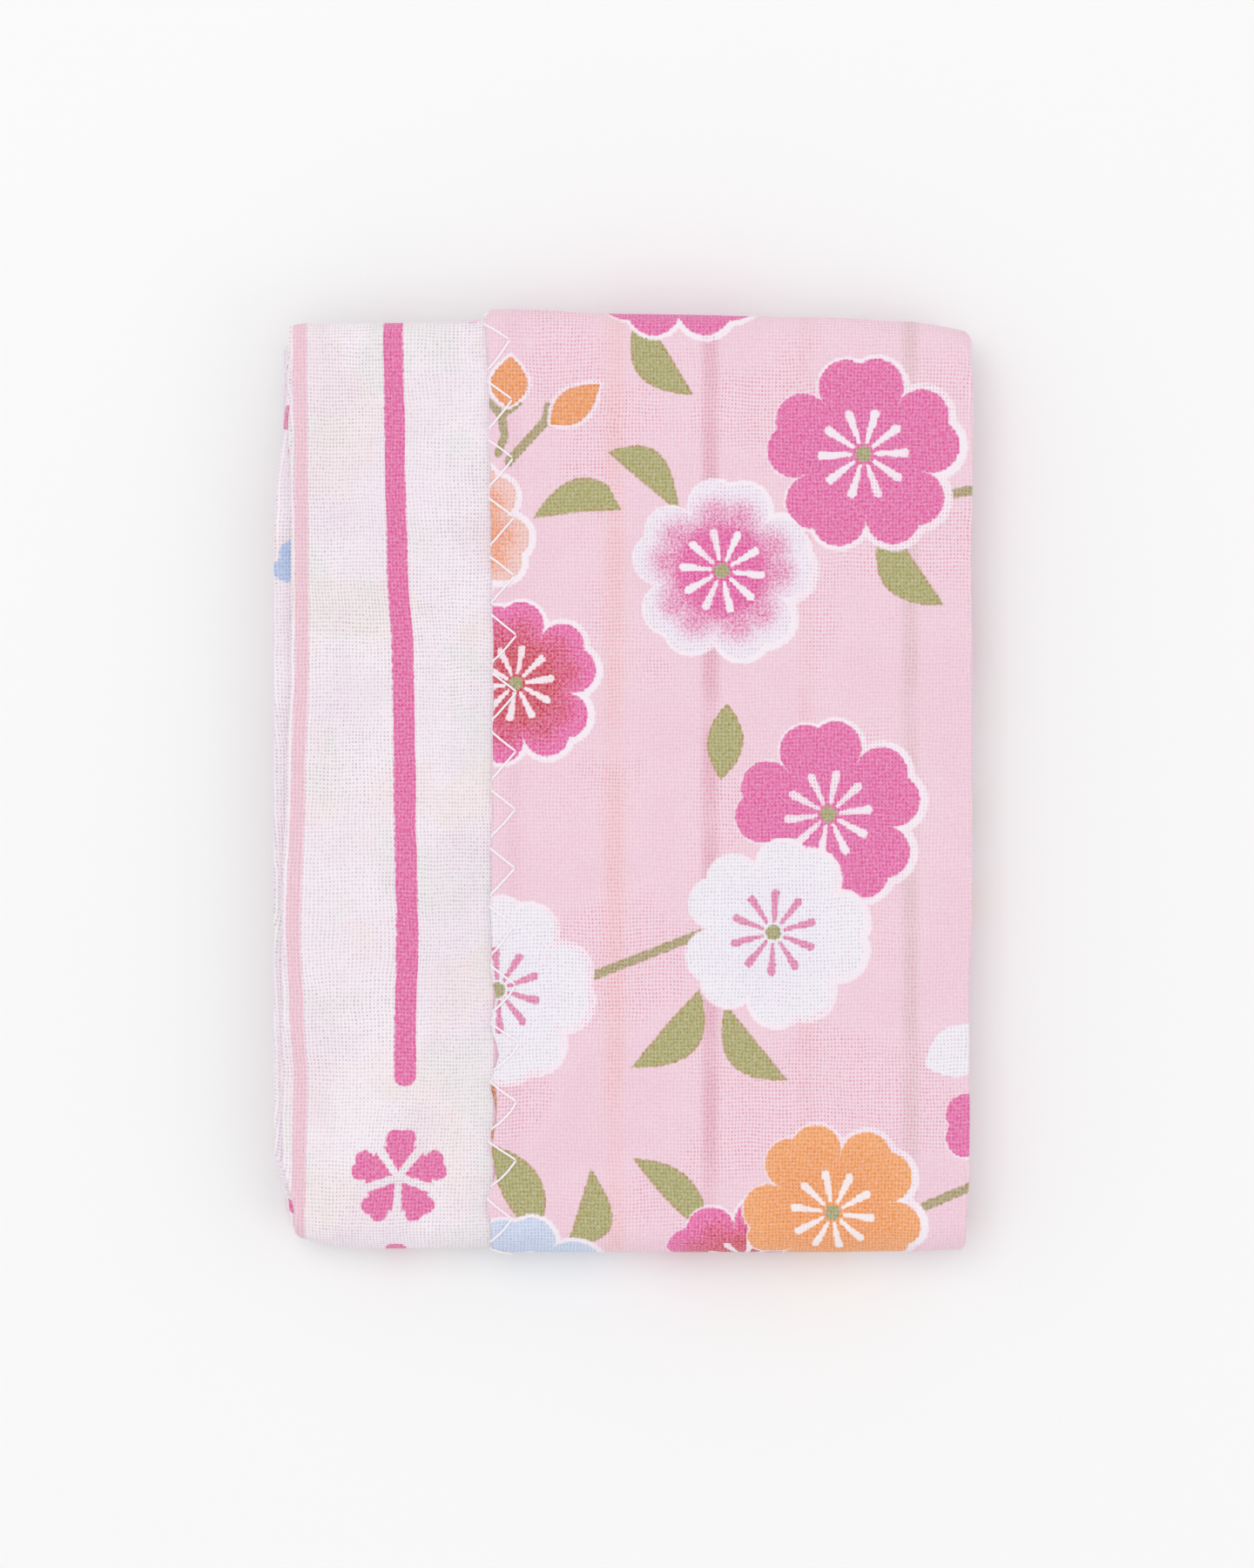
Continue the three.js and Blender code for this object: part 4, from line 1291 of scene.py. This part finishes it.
def stitch_tree():
    """Geometry nodes that lay a zigzag thread along rails of edges."""
    tree = bpy.data.node_groups.new("Zigzag stitches", "GeometryNodeTree")
    tree.is_modifier = True
    tree.interface.new_socket("Rails", in_out="INPUT", socket_type="NodeSocketGeometry")
    for label, (kind, value) in STITCH_INPUTS.items():
        socket = tree.interface.new_socket(label, in_out="INPUT", socket_type=kind)
        if value is not None:
            socket.default_value = value
    tree.interface.new_socket("Thread", in_out="OUTPUT", socket_type="NodeSocketGeometry")
    wires = Wires(tree)
    given = wires.node("NodeGroupInput").outputs

    def attribute(name, kind):
        made = wires.node("GeometryNodeInputNamedAttribute", {"Name": name}, data_type=kind)
        return made.outputs["Attribute"]

    curve = wires.node("GeometryNodeMeshToCurve", {"Mesh": given["Rails"]}).outputs[0]
    resample = wires.node("GeometryNodeResampleCurve", {"Curve": curve}, mode="LENGTH")
    wires.feed(resample.inputs["Length"], given["Spacing"])
    count = attribute("stitches", "FLOAT")
    phase = wires.math("FRACT", count)
    toward = wires.node("ShaderNodeMapRange", {
        "Value": phase, "From Min": 0.0, "From Max": given["Edge Reached"], "To Min": 1.0, "To Max": 0.0,
    }).outputs[0]
    back = wires.node("ShaderNodeMapRange", {
        "Value": phase, "From Min": given["Edge Left"], "From Max": 1.0, "To Min": 0.0, "To Max": 1.0,
    }).outputs[0]
    across = wires.most(toward, back)
    at_edge = wires.step(across, 0.12, 0.0)
    at_needle = wires.step(across, 0.9, 1.0)
    radius = wires.times(given["Thread Thickness"], 0.5)
    lift = wires.times(radius, wires.math("MULTIPLY_ADD", at_needle, -2.2, 0.75))
    going_under = wires.step(phase, given["Edge Reached"], UNDER_FROM)
    coming_up = wires.step(phase, given["Edge Left"], UNDER_TO)
    under = wires.times(going_under, coming_up)
    lift = wires.math("MULTIPLY_ADD", under, wires.times(given["Sheet Thickness"], -1.4), lift)
    reach = attribute("reach", "FLOAT_VECTOR")
    inward = wires.vector("SCALE", reach, across)
    overhang = wires.times(given["Overhang"], wires.math("MULTIPLY_ADD", under, 3.5, -1.0))
    overhang = wires.times(overhang, at_edge)
    offset = wires.vector("ADD", inward, wires.vector("SCALE", wires.vector("NORMALIZE", reach), overhang))
    offset = wires.vector("ADD", offset, wires.vector("SCALE", attribute("up", "FLOAT_VECTOR"), lift))
    drift = {"W": count, "Scale": 1.3, "Detail": 2.0}
    drift = wires.node("ShaderNodeTexNoise", drift, noise_dimensions="1D")
    drift = wires.vector("SUBTRACT", drift.outputs["Color"], (0.5, 0.5, 0.5))
    drift = wires.vector("SCALE", drift, wires.times(given["Unevenness"], 2.0))
    drift = wires.vector("MULTIPLY", drift, (1.0, 1.0, 0.3))
    moved = wires.node("GeometryNodeSetPosition", {"Geometry": resample.outputs[0]})
    wires.feed(moved.inputs["Offset"], wires.vector("ADD", offset, drift))
    profile = wires.node("GeometryNodeCurvePrimitiveCircle", {"Resolution": 6, "Radius": radius}).outputs[0]
    tube = wires.node("GeometryNodeCurveToMesh", {"Curve": moved.outputs[0], "Profile Curve": profile})
    wires.feed(tube.inputs["Fill Caps"], True)
    smooth = wires.node("GeometryNodeSetShadeSmooth", {"Geometry": tube.outputs[0]}).outputs[0]
    realized = wires.node("GeometryNodeRealizeInstances", {"Geometry": smooth}).outputs[0]
    painted = wires.node("GeometryNodeSetMaterial", {"Geometry": realized, "Material": given["Material"]})
    wires.node("NodeGroupOutput", {"Thread": painted.outputs[0]})
    return tree


def stitched(name, rails, values):
    """A thread along the rails, as a plain mesh."""
    tree = bpy.data.node_groups.get("Zigzag stitches") or stitch_tree()
    piece = bpy.data.objects.new(name, rail_mesh(f"{name} rails", rails))
    bpy.context.scene.collection.objects.link(piece)
    modifier = piece.modifiers.new("Zigzag stitches", "NODES")
    modifier.node_group = tree
    for item in tree.interface.items_tree:
        if item.in_out == "INPUT" and item.name in values:
            modifier[item.identifier] = values[item.name]
    bpy.context.view_layer.update()
    worked_out = piece.evaluated_get(bpy.context.evaluated_depsgraph_get())
    mesh = bpy.data.meshes.new_from_object(worked_out)
    piece.modifiers.remove(modifier)
    rails_only = piece.data
    piece.data = mesh
    bpy.data.meshes.remove(rails_only)
    mesh.name = name
    return piece


def thread_material(colour):
    """Plain white cotton thread."""
    material, wires = new_material("White cotton thread")
    finish = wires.node("ShaderNodeBsdfPrincipled", {
        "Base Color": tuple(colour),
        "Roughness": 0.7,
        "Specular IOR Level": 0.3,
        "Sheen Weight": 0.2,
    })
    wires.node("ShaderNodeOutputMaterial", {"Surface": finish.outputs[0]})
    return material


def count_property(name, default):
    """How finely a part of the sheet is divided."""
    return IntProperty(name=name, description="Lines of points in this part of the sheet", default=default)


class HandkerchiefSizes(bpy.types.PropertyGroup):
    """Sizes of the sheet."""

    thickness: FloatProperty(
        name="Thickness", description="Thickness of the pressed gauze", default=0.00042,
        subtype="DISTANCE", unit="LENGTH",
    )
    tail: FloatProperty(
        name="Tail", description="Length of the leaf that is tucked under the stack", default=0.035,
        subtype="DISTANCE", unit="LENGTH",
    )
    relief: FloatProperty(
        name="Relief", description="Strength of the yarns' relief", default=0.6,
        subtype="FACTOR", min=0, max=1,
    )
    hidden_rows: count_property("Rows in the hidden third", 28)
    fold_rows: count_property("Rows round a fold", 13)
    middle_rows: count_property("Rows in the top third", 80)
    under_rows: count_property("Rows underneath", 48)
    bend_columns: count_property("Columns round a side fold", 11)
    flap_columns: count_property("Columns in the flap", 26)
    panel_columns: count_property("Columns in the panel", 40)
    hidden_columns: count_property("Columns in a hidden leaf", 18)
    tail_columns: count_property("Columns in the tail", 14)


def colour_property(name, description, colour):
    """A colour that is given as 0 to 255, as seen."""
    return FloatVectorProperty(
        name=name, description=description, default=paint(colour), size=4, subtype="COLOR", min=0, max=1,
    )


class HandkerchiefColours(bpy.types.PropertyGroup):
    """Colours of the cloth and its thread."""

    pink: colour_property("Pink", "Ground of the blossom print", (240, 196, 213))
    pale_pink: colour_property("Pale pink", "Ground of the blossom print where it is thin", (244, 207, 221))
    # Painted shade in the gaps between the yarns of the blossom print
    pink_hole_shade: colour_property("Pink hole", "Between the yarns of the blossom print", (222, 132, 166))
    white: colour_property("White", "Ground of the stripe print", (252, 243, 249))
    lavender: colour_property("Lavender", "Ground of the stripe print where it is thin", (248, 236, 246))
    # Painted shade in the gaps between the yarns of the stripe print
    grey_hole_shade: colour_property("Grey hole", "Between the yarns of the stripe print", (200, 182, 196))
    thread: colour_property("Thread", "Hem thread", (248, 243, 246))


class HANDKERCHIEF_OT_cloth(bpy.types.Operator):
    """Makes the folded cloth with its two prints"""

    bl_idname = "handkerchief.cloth"
    bl_label = "Make the cloth"

    def execute(self, context):
        sizes, colours = context.scene.handkerchief_sizes, context.scene.handkerchief_colours
        groups = make_groups()
        materials = [blossom_print(sizes, colours, groups), stripe_print(sizes, colours, groups)]
        piece = gauze_sheet(sizes, materials)
        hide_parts("cloth")
        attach(piece, "root")
        return {"FINISHED"}


def add_stitches(context, name, rails, wrap):
    """Sews along the rails. wrap is how deep the thread goes at the edge, in metres."""
    colours = context.scene.handkerchief_colours
    material = bpy.data.materials.get("White cotton thread") or thread_material(colours.thread)
    piece = stitched(name, rails, {"Material": material, "Sheet Thickness": wrap})
    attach(piece, "root")


class HANDKERCHIEF_OT_hem_stitches(bpy.types.Operator):
    """Sews the flap's hem"""

    bl_idname = "handkerchief.hem_stitches"
    bl_label = "Sew the flap's hem"

    def execute(self, context):
        sizes = context.scene.handkerchief_sizes
        rows = Stations(sizes)
        add_stitches(context, "hem_stitches", [hem_rail(Section(sizes, rows), rows)], sizes.thickness)
        return {"FINISHED"}


class HANDKERCHIEF_OT_end_stitches(bpy.types.Operator):
    """Sews the hems of the tucked end and of the end underneath"""

    bl_idname = "handkerchief.end_stitches"
    bl_label = "Sew the end hems"

    def execute(self, context):
        sizes = context.scene.handkerchief_sizes
        rows = Stations(sizes)
        section = Section(sizes, rows)
        rails = [end_rail(section, rows, row, side) for row in (0, rows.count - 1) for side in (1, -1)]
        add_stitches(context, "end_stitches", rails, sizes.thickness / 4)
        return {"FINISHED"}


class HANDKERCHIEF_OT_stage(bpy.types.Operator):
    """Makes the floor, the lights and the camera"""

    bl_idname = "handkerchief.stage"
    bl_label = "Make the stage"

    def execute(self, context):
        make_floor()
        make_lights()
        make_camera()
        return {"FINISHED"}


def make_floor():
    """A plain pale table under the cloth."""
    mesh = bpy.data.meshes.new("floor")
    sides = [(-1, -1), (1, -1), (1, 1), (-1, 1)]
    corners = [(x * FLOOR_REACH, y * FLOOR_REACH, FLOOR_Z) for x, y in sides]
    mesh.from_pydata(corners, [], [(0, 1, 2, 3)])
    material, wires = new_material("White table")
    finish = wires.node("ShaderNodeBsdfPrincipled", {"Base Color": paint(FLOOR_COLOUR), "Roughness": 0.9})
    wires.node("ShaderNodeOutputMaterial", {"Surface": finish.outputs[0]})
    mesh.materials.append(material)
    floor = bpy.data.objects.new("floor", mesh)
    bpy.context.scene.collection.objects.link(floor)


def make_lights():
    """Two soft lamps in even daylight."""
    for row in LIGHTS:
        light = bpy.data.lights.new(row["name"], "AREA")
        light.shape = "DISK"
        light.size = row["size"]
        light.energy = row["power"]
        lamp = bpy.data.objects.new(row["name"], light)
        lamp.location = row["place"]
        lamp.rotation_euler = (-Vector(row["place"])).to_track_quat("-Z", "Y").to_euler()
        bpy.context.scene.collection.objects.link(lamp)
    world = bpy.data.worlds.new("Soft daylight")
    world.use_nodes = True
    background = world.node_tree.nodes["Background"]
    background.inputs["Color"].default_value = (1.0, 1.0, 1.0, 1.0)
    background.inputs["Strength"].default_value = DAYLIGHT
    bpy.context.scene.world = world


def make_camera():
    """The camera, above the stack and looking straight down."""
    camera = bpy.data.cameras.new("camera")
    camera.sensor_fit = "VERTICAL"
    camera.sensor_height = SENSOR_HEIGHT
    camera.lens = SENSOR_HEIGHT * (CAMERA_HEIGHT - TOP) / PHOTO_HEIGHT
    camera.clip_start = 0.01
    holder = bpy.data.objects.new("camera", camera)
    holder.location = (CAMERA_X * MM, CAMERA_Y * MM, CAMERA_HEIGHT * MM)
    bpy.context.scene.collection.objects.link(holder)
    bpy.context.scene.camera = holder
    bpy.context.scene.view_settings.view_transform = "Standard"


class HANDKERCHIEF_PT_panel(bpy.types.Panel):
    """Sizes, colours and operators of the handkerchief"""

    bl_idname = "HANDKERCHIEF_PT_panel"
    bl_label = "Handkerchief"
    bl_space_type = "VIEW_3D"
    bl_region_type = "UI"
    bl_category = "Handkerchief"

    def draw(self, context):
        layout = self.layout
        for group in (context.scene.handkerchief_sizes, context.scene.handkerchief_colours):
            box = layout.box()
            for name in group.__annotations__:
                box.prop(group, name)
        for operator in OPERATORS:
            layout.operator(operator.bl_idname)


OPERATORS = (
    HANDKERCHIEF_OT_cloth,
    HANDKERCHIEF_OT_hem_stitches,
    HANDKERCHIEF_OT_end_stitches,
    HANDKERCHIEF_OT_stage,
)
CLASSES = (HandkerchiefSizes, HandkerchiefColours, *OPERATORS, HANDKERCHIEF_PT_panel)


def register():
    """Registers the classes and adds the sizes and colours to the scene."""
    for made in CLASSES:
        bpy.utils.register_class(made)
    bpy.types.Scene.handkerchief_sizes = PointerProperty(type=HandkerchiefSizes)
    bpy.types.Scene.handkerchief_colours = PointerProperty(type=HandkerchiefColours)


def unregister():
    """Takes back what register did."""
    del bpy.types.Scene.handkerchief_colours
    del bpy.types.Scene.handkerchief_sizes
    for made in reversed(CLASSES):
        bpy.utils.unregister_class(made)


def main():
    """Makes every piece and the stage."""
    register()
    bpy.ops.handkerchief.cloth()
    bpy.ops.handkerchief.hem_stitches()
    bpy.ops.handkerchief.end_stitches()
    bpy.ops.handkerchief.stage()


if __name__ == "__main__":
    main()
